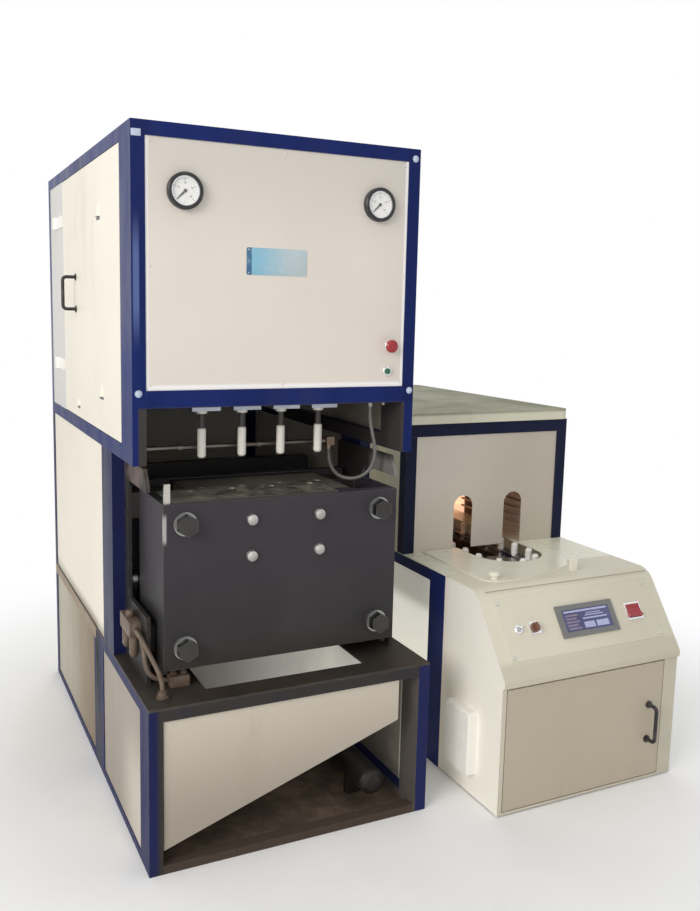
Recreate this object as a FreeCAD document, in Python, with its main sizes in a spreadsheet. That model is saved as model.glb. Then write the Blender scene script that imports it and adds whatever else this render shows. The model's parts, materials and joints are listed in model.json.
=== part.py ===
import FreeCAD, Part
import math
import os
import Sketcher

# Semi-automatic blow moulding machine: a press tower that blows four bottles at a time, and an
# infrared preform oven with its console beside it. Millimetres, +Z up, X to the right, Y away
# from the operator. Sub-parts are drawn from the tower's front left corner; their placement
# then moves the origin to the middle of the whole machine's footprint on the floor.

DRIVING = {
    # press tower, seen from the front
    "tower_wide": 907.0, "tower_deep": 1436.0, "tower_tall": 2100.0, "bar_wide": 40.0,
    "head_post_deep": 135.0, "head_floor": 1153.0, "side_rail_tall": 45.0,
    "brow_low": 1315.0, "brow_tall": 51.0,
    "base_step": 161.5, "base_tall": 497.0, "base_post_deep": 100.0, "foot_tall": 25.0,
    "rail_tall": 34.0, "deck_thick": 6.0, "sheet_thick": 2.0, "panel_set": 3.0,
    "waist_front": 279.0, "waist_post_deep": 151.0,
    "band_front": 449.0, "band_deep": 152.0,
    # deck opening and the bottle chute below it
    "drop_left": 190.0, "drop_right": 710.0, "drop_front": -80.0, "drop_back": 330.0,
    "chute_left": 44.0, "chute_inset": 108.0, "chute_low": 68.0, "chute_high": 324.0,
    "chute_front": -155.0,
    "receiver_x": 745.0, "receiver_z": 95.0, "receiver_radius": 42.5,
    "receiver_front": -110.0, "receiver_long": 620.0,
    # head door, its handle and catches
    "door_front": 139.0, "door_back": 1099.0, "door_gap": 3.0, "door_deep": 20.0,
    "door_post": 1102.0, "hinge_inset": 8.0, "hinge_radius": 4.0, "hinge_reach": 9.0,
    "grip_y": 843.0, "grip_low": 1587.0, "grip_high": 1700.0, "grip_out": 52.0,
    "grip_radius": 6.0, "catch_y": 1240.0, "catch_low_drop": 687.0,
    "catch_high_drop": 145.0, "catch_out": 14.0, "catch_tall": 44.0,
    # instruments and buttons of the head
    "gauge_left": 151.0, "gauge_right_inset": 143.0, "gauge_left_drop": 180.0,
    "gauge_right_drop": 177.0, "gauge_radius": 51.0, "dial_radius": 41.0, "gauge_out": 16.0,
    "gauge_body": 44.0,
    "needle_long": 33.0, "needle_rest": 45.0, "stop_inset": 93.0, "stop_up": 127.0,
    "start_inset": 98.0, "start_up": 48.0, "button_radius": 9.0, "mushroom_radius": 20.0,
    "bezel_radius": 15.5, "press_travel": 4.0,
    "slide_gap": 0.3,
    # clamp
    "platen_left": 75.0, "platen_low": 553.0, "platen_top": 1045.0, "platen_front": -45.0,
    "platen_thick": 40.0, "parting_y": 170.0, "mould_thick": 135.0, "mould_left": 203.0,
    "mould_low": 640.0, "mould_top": 1043.0, "tie_x": 139.0, "tie_low": 618.0, "tie_high": 987.0,
    "tie_radius": 22.5, "nut_across": 55.0, "nut_tall": 30.0, "washer_radius": 35.0,
    "washer_thick": 6.0, "clamp_travel": 110.0, "yoke_gap": 255.0,
    "cylinder_radius": 110.0, "cylinder_wall": 16.0, "cylinder_long": 300.0,
    "piston_thick": 30.0, "piston_rod": 35.0,
    "bolt_left": 342.0, "bolt_right": 562.0, "bolt_low": 874.0, "bolt_high": 984.0,
    "bolt_radius": 13.0,
    "cheek_thick": 12.0, "cheek_front": 15.0, "cheek_top": 1136.0, "cheek_nose": 46.0,
    "throat_back": 240.0, "throat_low": 700.0, "throat_top": 1072.0, "throat_round": 30.0,
    "guide_wide": 118.0, "guide_tall": 80.0, "low_guide_front": 60.0, "low_guide_back": 225.0,
    "high_guide_front": 243.0, "high_guide_back": 340.0,
    "wing_thick": 5.0, "wing_back": 236.0, "wing_low": 668.0, "wing_foot": 50.0,
    "strap_left": 104.0, "strap_right": 628.0, "strap_front": -40.0, "strap_back": 130.0,
    "strap_thick": 6.0, "strap_hole": 11.0, "strap_first": 197.0, "strap_hole_y": 97.0,
    "lug_left": 80.0, "lug_wide": 18.0, "lug_thick": 10.0, "lug_tall": 58.0,
    # slotted equaliser levers that keep the two platens level with each other
    "lever_y": 330.0, "lever_z": 640.0, "lever_arm": 100.0, "lever_x": 58.0, "lever_thick": 16.0,
    "lever_pin": 8.0, "lever_slot": 10.0, "lever_wall": 9.0, "lever_pivot": 10.0,
    "lever_lean": 29.43, "link_x": 80.0, "link_thick": 16.0, "link_tall": 26.0,
    # four bottle stations
    "station_first": 255.0, "station_pitch": 132.0, "bottle_radius": 42.0, "neck_radius": 14.0,
    "bottle_low": 775.0, "shoulder_low": 958.0, "neck_low": 1000.0,
    "nozzle_low": 1140.0, "sleeve_top": 1231.0, "sleeve_radius": 13.5, "stem_radius": 10.0,
    "rod_radius": 6.0, "block_low": 1290.0, "block_wide": 90.0, "block_deep": 100.0,
    "block_tall": 40.0, "head_plate_left": 120.0, "head_plate_deep": 120.0,
    "head_plate_tall": 30.0,
    "cross_low": 1700.0, "cross_thick": 25.0, "guide_rod_x": 150.0, "guide_rod_radius": 15.0,
    "lift_x": 200.0, "lift_radius": 32.0, "lift_wall": 6.0, "lift_long": 190.0, "lift_rod": 8.0,
    "crosshead_low": 1632.0, "crosshead_thick": 25.0, "rodless_radius": 20.0, "rodless_y": 222.0,
    # air line across the nozzle bay and its hose
    "pipe_y": 215.0, "pipe_z": 1167.0, "pipe_radius": 8.0, "pipe_right": 700.0,
    "service_x": 22.0, "service_z": 622.0, "service_wide": 34.0, "service_pitch": 46.0,
    "service_front": 96.0, "service_tall": 46.0, "bowl_tall": 66.0,
    "feed_x": 58.0, "feed_y": -92.0, "feed_radius": 7.0,
    "hose_radius": 6.0, "socket_inset": 117.0, "socket_y": 70.0, "socket_low": 1296.0,
    # heater: oven, deck and console
    "heater_left": 1092.0, "heater_wide": 740.0, "heater_front": 50.0, "heater_back": 1500.0,
    "heater_deck": 703.0, "heater_bar": 45.0, "heater_post_deep": 98.0, "heater_rail": 40.0,
    "oven_front": 340.0, "oven_rail": 47.0, "oven_tall": 1190.0, "cover_tall": 40.0,
    "cover_over": 6.0, "cover_corner": 35.0,
    "console_front": -301.0, "console_fold": -140.0, "slope_foot": 470.0,
    "console_round": 80.0, "lip_out": 10.0, "lip_low": 428.0, "console_foot": 4.0,
    "hatch_left": 1110.0, "hatch_right": 1770.0, "hatch_low": 16.0, "hatch_top": 425.0,
    "hatch_gap": 3.0, "hatch_deep": 18.0, "pull_x": 1712.0, "pull_low": 150.0, "pull_high": 275.0,
    "pull_out": 45.0, "pull_radius": 6.5,
    "box_front": -174.0, "box_back": -27.0, "box_low": 80.0, "box_high": 300.0, "box_out": 35.0,
    "box_round": 12.0, "lid_inset": 6.0,
    # on the sloping desk: across from the console's left side, and down from the fold
    "desk_margin": 45.0, "desk_high": 35.0, "desk_low": 245.0, "window_margin": 35.0,
    "screen_left": 272.0, "screen_wide": 240.0, "screen_high": 89.0, "screen_low": 197.0,
    "screen_rim": 10.0, "screen_glass": 20.0, "screen_out": 7.0, "screen_deep": 40.0,
    "key_x": 108.0, "key_down": 143.0, "key_radius": 8.0, "key_rim": 15.0,
    "knob_x": 171.0, "knob_down": 145.0, "knob_radius": 16.0, "knob_plate": 40.0,
    "switch_hole": 11.0, "switch_deep": 18.0,
    "rocker_x": 598.5, "rocker_down": 141.5, "rocker_wide": 56.0, "rocker_tall": 44.0,
    "rocker_hole": 57.0, "rocker_hole_tall": 47.0, "rocker_rim": 6.0, "rocker_rest": 8.0,
    # control gear on the plate behind the hatch
    "gear_edge": 25.0, "gear_low": 60.0, "gear_top": 640.0, "gear_left": 100.0,
    "breaker_wide": 45.0, "breaker_pitch": 52.0, "breaker_low": 430.0, "breaker_tall": 80.0,
    "breaker_deep": 78.0, "drive_wide": 120.0, "drive_low": 150.0, "drive_tall": 200.0,
    "drive_deep": 110.0, "supply_left": 260.0, "supply_tall": 160.0, "supply_deep": 90.0,
    "terminal_left": 430.0, "terminal_low": 200.0, "terminal_tall": 40.0,
    # conveyor
    "bed_thick": 15.0, "cross_front": 60.0, "cross_back": 200.0, "cross_deep": 40.0,
    "lane_half": 11.0, "lane_clear": 32.0, "hub_stub": 30.0, "gear_half": 62.0,
    "gear_tall": 110.0, "motor_radius": 45.0, "motor_long": 160.0,
    "chain_pitch": 88.9, "chain_x": 1471.0, "front_wheel_y": 230.0, "straight_links": 12.0,
    "wheel_notches": 8.0, "link_plate": 4.0, "wheel_low": 642.0, "wheel_thick": 12.0,
    "plate_gap": 2.0, "pin_radius": 10.0, "link_half": 18.0, "holder_radius": 13.0,
    "holder_top": 708.0, "wheel_radius": 124.0, "hub_radius": 15.0, "deck_hole": 140.0,
    "slot_wide": 85.0, "slot_top": 908.0,
    "plate_left": 295.0, "plate_right": 190.0, "plate_front": -80.0, "plate_wing": 140.0,
    "plate_nose": 80.0, "plate_nose_front": -10.0, "plate_side_front": 130.0,
    "post_x": 72.0, "post_front": -73.0, "post_wide": 20.0, "post_tall": 40.0,
    "plate_knob_x": 249.0, "plate_knob_y": -50.0,
    "lamp_radius": 5.0, "lamp_low": 740.0, "lamp_pitch": 32.0, "lamp_count": 6.0,
    "lamp_x": 1240.0, "rack_front": 400.0, "rack_back": 1440.0,
}

doc = FreeCAD.newDocument("blow_moulding_machine")
sheet = doc.addObject("Spreadsheet::Sheet", "Sizes")


class Size:
    """A length in millimetres together with the sheet expression that gives it."""

    def __init__(self, value, text):
        self.value = float(value)
        self.text = text

    def __add__(self, other):
        return Size(self.value + float(other), f"({self.text} + {text_of(other)})")

    def __radd__(self, other):
        return Size(float(other) + self.value, f"({text_of(other)} + {self.text})")

    def __sub__(self, other):
        return Size(self.value - float(other), f"({self.text} - {text_of(other)})")

    def __rsub__(self, other):
        return Size(float(other) - self.value, f"({text_of(other)} - {self.text})")

    def __mul__(self, other):
        return Size(self.value * float(other), f"({self.text} * {text_of(other)})")

    def __rmul__(self, other):
        return Size(float(other) * self.value, f"({text_of(other)} * {self.text})")

    def __truediv__(self, other):
        return Size(self.value / float(other), f"({self.text} / {text_of(other)})")

    def __rtruediv__(self, other):
        return Size(float(other) / self.value, f"({text_of(other)} / {self.text})")

    def __neg__(self):
        return Size(-self.value, f"(0 - {self.text})")

    def __float__(self):
        return self.value


def text_of(length):
    return length.text if isinstance(length, Size) else f"({float(length)!r})"


def sine(degrees):
    return Size(math.sin(math.radians(float(degrees))), f"sin({text_of(degrees)} * 1 deg)")


def cosine(degrees):
    return Size(math.cos(math.radians(float(degrees))), f"cos({text_of(degrees)} * 1 deg)")


class Sizes:
    """The sheet's cells by name."""

    def __init__(self, values):
        for row, (alias, value) in enumerate(values.items(), 1):
            sheet.set(f"A{row}", alias)
            sheet.set(f"B{row}", str(value))
            sheet.setAlias(f"B{row}", alias)
            setattr(self, alias, Size(value, f"Sizes.{alias}"))


s = Sizes(DRIVING)
doc.recompute()


# ---------------------------------------------------------------- drawing helpers

def bind(item, name, length):
    item.setExpression(name, text_of(length))


def place(item, x=0, y=0, z=0):
    for axis, length in zip("xyz", (x, y, z)):
        bind(item, f".Placement.Base.{axis}", length)
    return item


def block(name, xs, ys, zs):
    """A box between two X, two Y and two Z values."""
    item = doc.addObject("Part::Box", name)
    bind(item, "Length", xs[1] - xs[0])
    bind(item, "Width", ys[1] - ys[0])
    bind(item, "Height", zs[1] - zs[0])
    return place(item, xs[0], ys[0], zs[0])


TURNS = {"z": FreeCAD.Rotation(),
         "y": FreeCAD.Rotation(FreeCAD.Vector(1, 0, 0), -90),
         "x": FreeCAD.Rotation(FreeCAD.Vector(0, 1, 0), 90)}


def rod(name, axis, centre, ends, radius):
    """A cylinder along an axis; centre gives the two other coordinates in X, Y, Z order."""
    item = doc.addObject("Part::Cylinder", name)
    bind(item, "Radius", radius)
    bind(item, "Height", ends[1] - ends[0])
    return set_along(item, axis, centre, ends[0])


def set_along(item, axis, centre, start):
    item.Placement = FreeCAD.Placement(FreeCAD.Vector(), TURNS[axis])
    spot = list(centre)
    spot.insert("xyz".index(axis), start)
    return place(item, *spot)


def new_sketch(body, name, role, outline):
    """A closed outline of pinned points on one of the body's own origin planes."""
    sketch = body.newObject("Sketcher::SketchObject", name)
    plane = next(item for item in body.Origin.OriginFeatures if item.Role == role)
    sketch.AttachmentSupport = (plane, "")
    sketch.MapMode = "FlatFace"
    spots = [FreeCAD.Vector(float(a), float(b), 0) for a, b in outline]
    for here, there in zip(spots, spots[1:] + spots[:1]):
        sketch.addGeometry(Part.LineSegment(here, there), False)
    for index, (a, b) in enumerate(outline):
        following = (index + 1) % len(outline)
        sketch.addConstraint(Sketcher.Constraint("Coincident", index, 2, following, 1))
        for kind, length in (("DistanceX", a), ("DistanceY", b)):
            spot = Sketcher.Constraint(kind, -1, 1, index, 1, float(length))
            number = sketch.addConstraint(spot)
            bind(sketch, f"Constraints[{number}]", length)
    return sketch


def plate(name, role, outline, start, thick, rounds=()):
    """An outline on the XY, XZ or YZ plane, padded from start; rounds are (a, b, radius)."""
    body = doc.addObject("PartDesign::Body", name)
    sketch = new_sketch(body, name + "_outline", role + "_Plane", outline)
    facing_back = role == "XZ"
    bind(sketch, ".AttachmentOffset.Base.z", -start if facing_back else start)
    pad = body.newObject("PartDesign::Pad", name + "_pad")
    pad.Profile = sketch
    pad.Reversed = facing_back
    bind(pad, "Length", thick)
    if rounds:
        round_corners(body, pad, role, rounds)
    return body


def round_corners(body, pad, role, rounds):
    """Fillets on the pad's long edges, each found by its place in the outline."""
    doc.recompute()
    base = pad
    first, second = role[0].lower(), role[1].lower()
    along = next(axis for axis in "xyz" if axis not in (first, second))
    for number, (a, b, radius) in enumerate(rounds):
        names = []
        for index, edge in enumerate(base.Shape.Edges, 1):
            box = edge.BoundBox
            lengths = {"x": box.XLength, "y": box.YLength, "z": box.ZLength}
            middle = box.Center
            off = math.hypot(getattr(middle, first) - float(a), getattr(middle, second) - float(b))
            straight = lengths[first] + lengths[second] < 0.01 < lengths[along]
            if straight and off < 0.01:
                names.append(f"Edge{index}")
        fillet = body.newObject("PartDesign::Fillet", f"{body.Name}_round_{number}")
        fillet.Base = (base, names)
        bind(fillet, "Radius", radius)
        doc.recompute()
        base = fillet


def turned(name, axis, centre, start, profile):
    """A profile of (radius, height) points turned about an axis, heights measured from start."""
    body = doc.addObject("PartDesign::Body", name)
    sketch = new_sketch(body, name + "_outline", "XZ_Plane", profile)
    spin = body.newObject("PartDesign::Revolution", name + "_turning")
    spin.Profile = sketch
    spin.ReferenceAxis = (sketch, ["V_Axis"])
    spin.Angle = 360
    return set_along(body, axis, centre, start)


def cut(name, base, *tools):
    item = doc.addObject("Part::Cut", name)
    item.Base = base
    item.Tool = tools[0] if len(tools) == 1 else gather(name + "_tools", *tools)
    return item


def gather(name, *pieces):
    item = doc.addObject("Part::Compound", name)
    item.Links = list(pieces)
    return item


def fuse(name, *pieces):
    item = doc.addObject("Part::MultiFuse", name)
    item.Shapes = list(pieces)
    item.Refine = True
    return item


def drawn(name, shape):
    """A shape that follows a path, where no feature fits."""
    item = doc.addObject("Part::Feature", name)
    item.Shape = shape
    return item


def bars(name, rows):
    return [block(f"{name}_bar_{number}", *row) for number, row in enumerate(rows, 1)]


def opposite(xs):
    """The same stretch of X mirrored to the other side of the tower."""
    return (s.tower_wide - xs[1], s.tower_wide - xs[0])


NODES = []


def node(label, *pieces):
    """One sub-part under its own label, moved so that the origin is the footprint's middle."""
    item = gather(label, *pieces)
    item.Label = label
    NODES.append(place(item, -middle_x, -middle_y, 0))
    return item


# ---------------------------------------------------------------- shared levels

zero = Size(0, "0")
wide = s.tower_wide
left_bar = (zero, s.bar_wide)
right_bar = opposite(left_bar)
inner = (s.bar_wide, wide - s.bar_wide)
rear_bar = (s.tower_deep - s.bar_wide, s.tower_deep)
base_front = -s.base_step
base_bar = (base_front, base_front + s.bar_wide)
base_post = (base_front, base_front + s.base_post_deep)
deck_low = s.base_tall - s.deck_thick
waist_post = (s.waist_front, s.waist_front + s.waist_post_deep)
head_side = s.head_floor + s.side_rail_tall
head_top = s.tower_tall - s.bar_wide
chute_right = wide - s.chute_inset
brow_top = s.brow_low + s.brow_tall
stations = [s.station_first + s.station_pitch * number for number in range(4)]
heater_right = s.heater_left + s.heater_wide
middle_x = (heater_right + s.cover_over - s.grip_out) / 2
middle_y = (s.heater_back + s.cover_over + s.console_front - s.pull_out) / 2


# ---------------------------------------------------------------- press tower: frame and panels

def base_frame():
    post_rise = (zero, deck_low)
    sides = (base_post[1], rear_bar[0])
    rows = []
    for xs in (left_bar, right_bar):
        rows.append((xs, base_post, post_rise))
        rows.append((xs, rear_bar, post_rise))
        rows.append((xs, sides, (zero, s.foot_tall)))
        rows.append((xs, sides, (deck_low - s.rail_tall, deck_low)))
        band = (s.band_front, s.band_front + s.band_deep)
        rows.append((xs, band, (s.foot_tall, deck_low - s.rail_tall)))
    for ys in (base_bar, rear_bar):
        rows.append((inner, ys, (zero, s.foot_tall)))
        rows.append((inner, ys, (deck_low - s.rail_tall, deck_low)))
    node("base_frame", *bars("base_frame", rows))


def base_plates():
    deck = block("deck_sheet", (zero, wide), (base_front, s.tower_deep), (deck_low, s.base_tall))
    drop = block("deck_drop", (s.drop_left, s.drop_right), (s.drop_front, s.drop_back),
                 (deck_low - 5, s.base_tall + 5))
    floor = block("floor_sheet", inner, (base_bar[1], rear_bar[0]), (zero, s.sheet_thick))
    node("base_plates", cut("deck_plate", deck, drop), floor)


def bottle_chute():
    """A folded trough whose floor slopes down to the left below the deck opening."""
    top = deck_low - s.rail_tall
    run = chute_right - s.chute_left
    lift = s.sheet_thick * 1.06
    outer = [(s.chute_left, top), (s.chute_left, s.chute_low), (chute_right, s.chute_high),
             (chute_right, top)]
    back = s.drop_back
    solid = plate("chute_outside", "XZ", outer, s.chute_front, back - s.chute_front)
    side = chute_right - s.sheet_thick
    fall = (s.chute_high - s.chute_low) / run
    space = [(s.chute_left - 10, top + 10), (s.chute_left - 10, s.chute_low + lift - fall * 10),
             (side, s.chute_high + lift - fall * s.sheet_thick), (side, top + 10)]
    hollow = plate("chute_inside", "XZ", space, s.chute_front + s.sheet_thick,
                   back - s.chute_front - s.sheet_thick * 2)
    node("bottle_chute", cut("chute_trough", solid, hollow))


def air_receiver():
    """A welded air tank lying on two saddles on the base floor."""
    radius = s.receiver_radius
    dome = radius * 0.45
    long = s.receiver_long
    profile = [(zero, zero), (radius * 0.6, dome * 0.2), (radius * 0.9, dome * 0.6),
               (radius, dome), (radius, long - dome), (radius * 0.9, long - dome * 0.6),
               (radius * 0.6, long - dome * 0.2), (zero, long)]
    centre = (s.receiver_x, s.receiver_z)
    tank = turned("tank", "y", centre, s.receiver_front, profile)
    saddles = []
    half = radius * 0.8
    for number, share in enumerate((0.2, 0.75)):
        front = s.receiver_front + long * share
        foot = block(f"saddle_foot_{number}", (s.receiver_x - half, s.receiver_x + half),
                     (front, front + 25), (s.sheet_thick, s.receiver_z))
        round_cut = rod(f"saddle_seat_{number}", "y", centre, (front - 5, front + 30), radius)
        saddles.append(cut(f"saddle_{number}", foot, round_cut))
    node("air_receiver", tank, *saddles)


def tower_panels():
    skin = s.sheet_thick
    lane = (s.panel_set, s.panel_set + skin)
    low_band = (s.foot_tall, deck_low - s.rail_tall)
    waist_rise = (s.base_tall, s.head_floor)
    rows = []
    for xs in (lane, opposite(lane)):
        rows.append((xs, (base_post[1], s.band_front), low_band))
        rows.append((xs, (s.band_front + s.band_deep, rear_bar[0]), low_band))
        rows.append((xs, (waist_post[1], rear_bar[0]), waist_rise))
    back = (s.tower_deep - s.panel_set - skin, s.tower_deep - s.panel_set)
    head_rise = (head_side, head_top)
    for rise in (low_band, waist_rise, head_rise):
        rows.append((inner, back, rise))
    rows.append((opposite(lane), (s.head_post_deep, rear_bar[0]), head_rise))
    rows.append(((s.panel_set - skin, s.panel_set), (s.door_post, rear_bar[0]), head_rise))
    rows.append((inner, (s.bar_wide, rear_bar[0]),
                 (s.tower_tall - s.panel_set - skin, s.tower_tall - s.panel_set)))
    node("tower_panels", *bars("tower_panel", rows))


def waist_frame():
    rise = (s.base_tall, s.head_floor)
    rows = [(xs, ys, rise) for xs in (left_bar, right_bar) for ys in (waist_post, rear_bar)]
    node("waist_frame", *bars("waist_frame", rows))


def head_frame():
    rows = []
    post = (zero, s.head_post_deep)
    sides = (s.head_post_deep, rear_bar[0])
    for xs in (left_bar, right_bar):
        rows.append((xs, post, (s.head_floor, head_top)))
        rows.append((xs, rear_bar, (s.head_floor, head_top)))
    rows.append((right_bar, sides, (s.head_floor, head_side)))
    rows.append((right_bar, (s.bar_wide, rear_bar[0]), (head_top, s.tower_tall)))
    rows.append(((zero, wide), left_bar, (head_top, s.tower_tall)))
    rows.append(((zero, wide), rear_bar, (head_top, s.tower_tall)))
    rows.append((inner, left_bar, (s.brow_low, brow_top)))
    rows.append((inner, rear_bar, (s.head_floor, head_side)))
    stop = (s.panel_set, s.bar_wide)
    rows.append((stop, (s.door_post, s.door_post + s.bar_wide), (head_side, head_top)))
    pieces = bars("head_frame", rows)
    # the two left rails take the door's pivot pins in blind holes
    pivot = (s.hinge_inset, s.door_front + s.hinge_inset)
    bore = s.hinge_radius + s.slide_gap
    reach = s.hinge_reach + 1
    low = block("door_sill", left_bar, sides, (s.head_floor, head_side))
    low_hole = rod("door_sill_hole", "z", pivot, (head_side - reach, head_side + 5), bore)
    high = block("door_lintel", left_bar, (s.bar_wide, rear_bar[0]), (head_top, s.tower_tall))
    high_hole = rod("door_lintel_hole", "z", pivot, (head_top - 5, head_top + reach), bore)
    pieces.append(cut("door_sill_rail", low, low_hole))
    pieces.append(cut("door_lintel_rail", high, high_hole))
    node("head_frame", *pieces)


def head_front_panel():
    skin = s.sheet_thick
    front = s.panel_set
    sheet_body = block("front_sheet", inner, (front, front + skin), (brow_top, head_top))
    through = (front - 5, front + skin + 5)
    holes = []
    for number, (x, z) in enumerate(gauge_spots()):
        holes.append(rod(f"gauge_hole_{number}", "y", (x, z), through, s.gauge_body + s.slide_gap))
    for number, (x, z) in enumerate(button_spots()):
        holes.append(rod(f"button_hole_{number}", "y", (x, z), through, barrel_radius))
    node("head_front_panel", cut("front_panel", sheet_body, *holes))


def door_catches():
    """Two catches on the rear strip, whose tongues reach forward over the door's edge."""
    pieces = []
    face = s.panel_set - s.sheet_thick
    for number, drop in enumerate((s.catch_low_drop, s.catch_high_drop)):
        z = head_top - drop
        back = s.catch_y + 18
        tongue = s.door_back + 12
        outline = [(face, tongue), (face, back), (-s.catch_out, back),
                   (-s.catch_out, s.catch_y - 18), (-5, s.catch_y - 30), (-5, tongue)]
        pieces.append(plate(f"catch_{number}", "XY", outline, z - s.catch_tall / 2, s.catch_tall))
    node("door_catches", *pieces)


# ---------------------------------------------------------------- head: door, gauges, buttons

barrel_radius = s.button_radius + s.slide_gap + 1.7


def gauge_spots():
    return ((s.gauge_left, s.tower_tall - s.gauge_left_drop),
            (wide - s.gauge_right_inset, s.tower_tall - s.gauge_right_drop))


def button_spots():
    return ((wide - s.stop_inset, brow_top + s.stop_up),
            (wide - s.start_inset, brow_top + s.start_up))


def both_ends(span, deep):
    return ((span[0], span[0] + deep), (span[1] - deep, span[1]))


def folded_tray(name, xs, ys, zs, open_side):
    """A sheet face with four sheet edges standing behind it, open towards one side."""
    skin = s.sheet_thick
    axis, opens_high = open_side[1], open_side[0] == "+"
    spans = {"x": xs, "y": ys, "z": zs}
    low, high = spans[axis]
    face = (low, low + skin) if opens_high else (high - skin, high)
    rim = (face[1], high) if opens_high else (low, face[0])
    first, second = (letter for letter in "xyz" if letter != axis)

    def sheet(part_name, **changed):
        ends = {**spans, **changed}
        return block(f"{name}_{part_name}", ends["x"], ends["y"], ends["z"])

    pieces = [sheet("face", **{axis: face})]
    for number, (start, end) in enumerate(both_ends(spans[first], skin)):
        pieces.append(sheet(f"end_{number}", **{axis: rim, first: (start, end)}))
    between = (spans[first][0] + skin, spans[first][1] - skin)
    for number, (start, end) in enumerate(both_ends(spans[second], skin)):
        pieces.append(sheet(f"side_{number}", **{axis: rim, first: between, second: (start, end)}))
    return pieces


def head_door():
    rise = (head_side + s.door_gap, head_top - s.door_gap)
    tray = folded_tray("door_tray", (zero, s.door_deep), (s.door_front, s.door_back), rise, "+x")
    pivot = (s.hinge_inset, s.door_front + s.hinge_inset)
    low_pin = rod("door_pin_low", "z", pivot, (head_side - s.hinge_reach, rise[0]), s.hinge_radius)
    high_pin = rod("door_pin_high", "z", pivot, (rise[1], head_top + s.hinge_reach),
                   s.hinge_radius)
    node("head_door", *tray, low_pin, high_pin)


def bow(name, radius, feet, out, facing, foot_radius):
    """A round bar bent to a bow; feet are the two ends, out is how far it stands off."""
    bend = radius * 2.2
    a, b = (FreeCAD.Vector(*[float(c) for c in foot]) for foot in feet)
    stand = FreeCAD.Vector(*facing) * float(out - radius)
    along = (b - a).normalize()
    up = FreeCAD.Vector(*facing)
    r = float(bend)
    corner_a, corner_b = a + stand, b + stand
    turn = r * (1 - math.cos(math.pi / 4))
    mid_a = corner_a + along * turn - up * turn
    mid_b = corner_b - along * turn - up * turn
    path = Part.Wire([
        Part.LineSegment(a, corner_a - up * r).toShape(),
        Part.Arc(corner_a - up * r, mid_a, corner_a + along * r).toShape(),
        Part.LineSegment(corner_a + along * r, corner_b - along * r).toShape(),
        Part.Arc(corner_b - along * r, mid_b, corner_b - up * r).toShape(),
        Part.LineSegment(corner_b - up * r, b).toShape()])
    ring = Part.Wire([Part.Circle(a, up, float(radius)).toShape()])
    bar = path.makePipeShell([ring], True, False)
    thick = 4.0
    shapes = [bar] + [Part.makeCylinder(float(foot_radius), thick, foot, up) for foot in (a, b)]
    whole = shapes[0].fuse(shapes[1:])
    return drawn(name, whole.removeSplitter())


def head_door_handle():
    feet = [(zero, s.grip_y, z) for z in (s.grip_low, s.grip_high)]
    node("head_door_handle",
         bow("door_bow", s.grip_radius, feet, s.grip_out, (-1, 0, 0), s.grip_radius * 2))


def gauge_cases():
    pieces = []
    out = s.gauge_out
    back = s.gauge_body
    for number, spot in enumerate(gauge_spots()):
        rim = s.gauge_radius
        dial = s.dial_radius
        face = out * 0.55
        profile = [(zero, face), (dial, face), (dial, zero), (rim - 3, zero), (rim, 3),
                   (rim, out + s.panel_set), (back, out + s.panel_set), (back, out + 38),
                   (zero, out + 38)]
        pieces.append(turned(f"gauge_case_{number}", "y", spot, -out, profile))
        pieces.append(rod(f"gauge_stem_{number}", "y", spot, (out * 0.55 - out - 4,
                                                            out * 0.55 - out), 2))
    node("gauge_cases", *pieces)


def needle(label, spot):
    """A pointer on its boss, just clear of the dial."""
    dial = s.gauge_out * 0.55 - s.gauge_out
    front = dial - s.slide_gap - 2
    profile = [(2 + s.slide_gap, zero), (5, zero), (5, 2), (2 + s.slide_gap, 2)]
    boss = turned(label + "_boss", "y", spot, front, profile)
    x, z = spot
    lean, rise = sine(s.needle_rest), cosine(s.needle_rest)
    pointer = [(x - lean * out + rise * side, z - rise * out - lean * side)
               for out, side in ((s.needle_long, -1.2), (s.needle_long, 1.2), (4.4, 3), (4.4, -3))]
    hand = plate(label + "_hand", "XZ", pointer, front + 0.4, 1.2)
    ring = rod(label + "_relief", "y", spot, (front - 1, front + 3), 4.9)
    node(label, boss, cut(label + "_blade", hand, ring))


def push_button(label, spot, head_radius, head_long):
    """A plunger with its cap, sliding in the bezel's bore."""
    travel = s.press_travel
    flange = -4
    plunger = s.button_radius
    back = 26
    reach = flange - travel - 3
    if head_long:
        front = reach - head_long
        profile = [(zero, zero), (head_radius * 0.8, zero), (head_radius, head_long * 0.3),
                   (head_radius, head_long * 0.7), (head_radius * 0.8, head_long),
                   (plunger, head_long), (plunger, back - front), (zero, back - front)]
    else:
        front = flange - travel - 1
        profile = [(zero, zero), (plunger - 1, zero), (plunger, Size(1, "1")),
                   (plunger, back - front), (zero, back - front)]
    node(label, turned(label + "_plunger", "y", spot, front, profile))


def switch_bezels():
    """The two push-button bezels and, on the console, the rims of key, selector and rocker."""
    pieces = []
    bore = s.button_radius + s.slide_gap
    for number, spot in enumerate(button_spots()):
        profile = [(bore, zero), (s.bezel_radius - 1, zero), (s.bezel_radius, 1),
                   (s.bezel_radius, 4 + s.panel_set), (barrel_radius, 4 + s.panel_set),
                   (barrel_radius, 36), (bore, 36)]
        pieces.append(turned(f"button_bezel_{number}", "y", spot, -4, profile))
    pieces += console_bezels()
    node("switch_bezels", *pieces)


# ---------------------------------------------------------------- clamp

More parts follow.
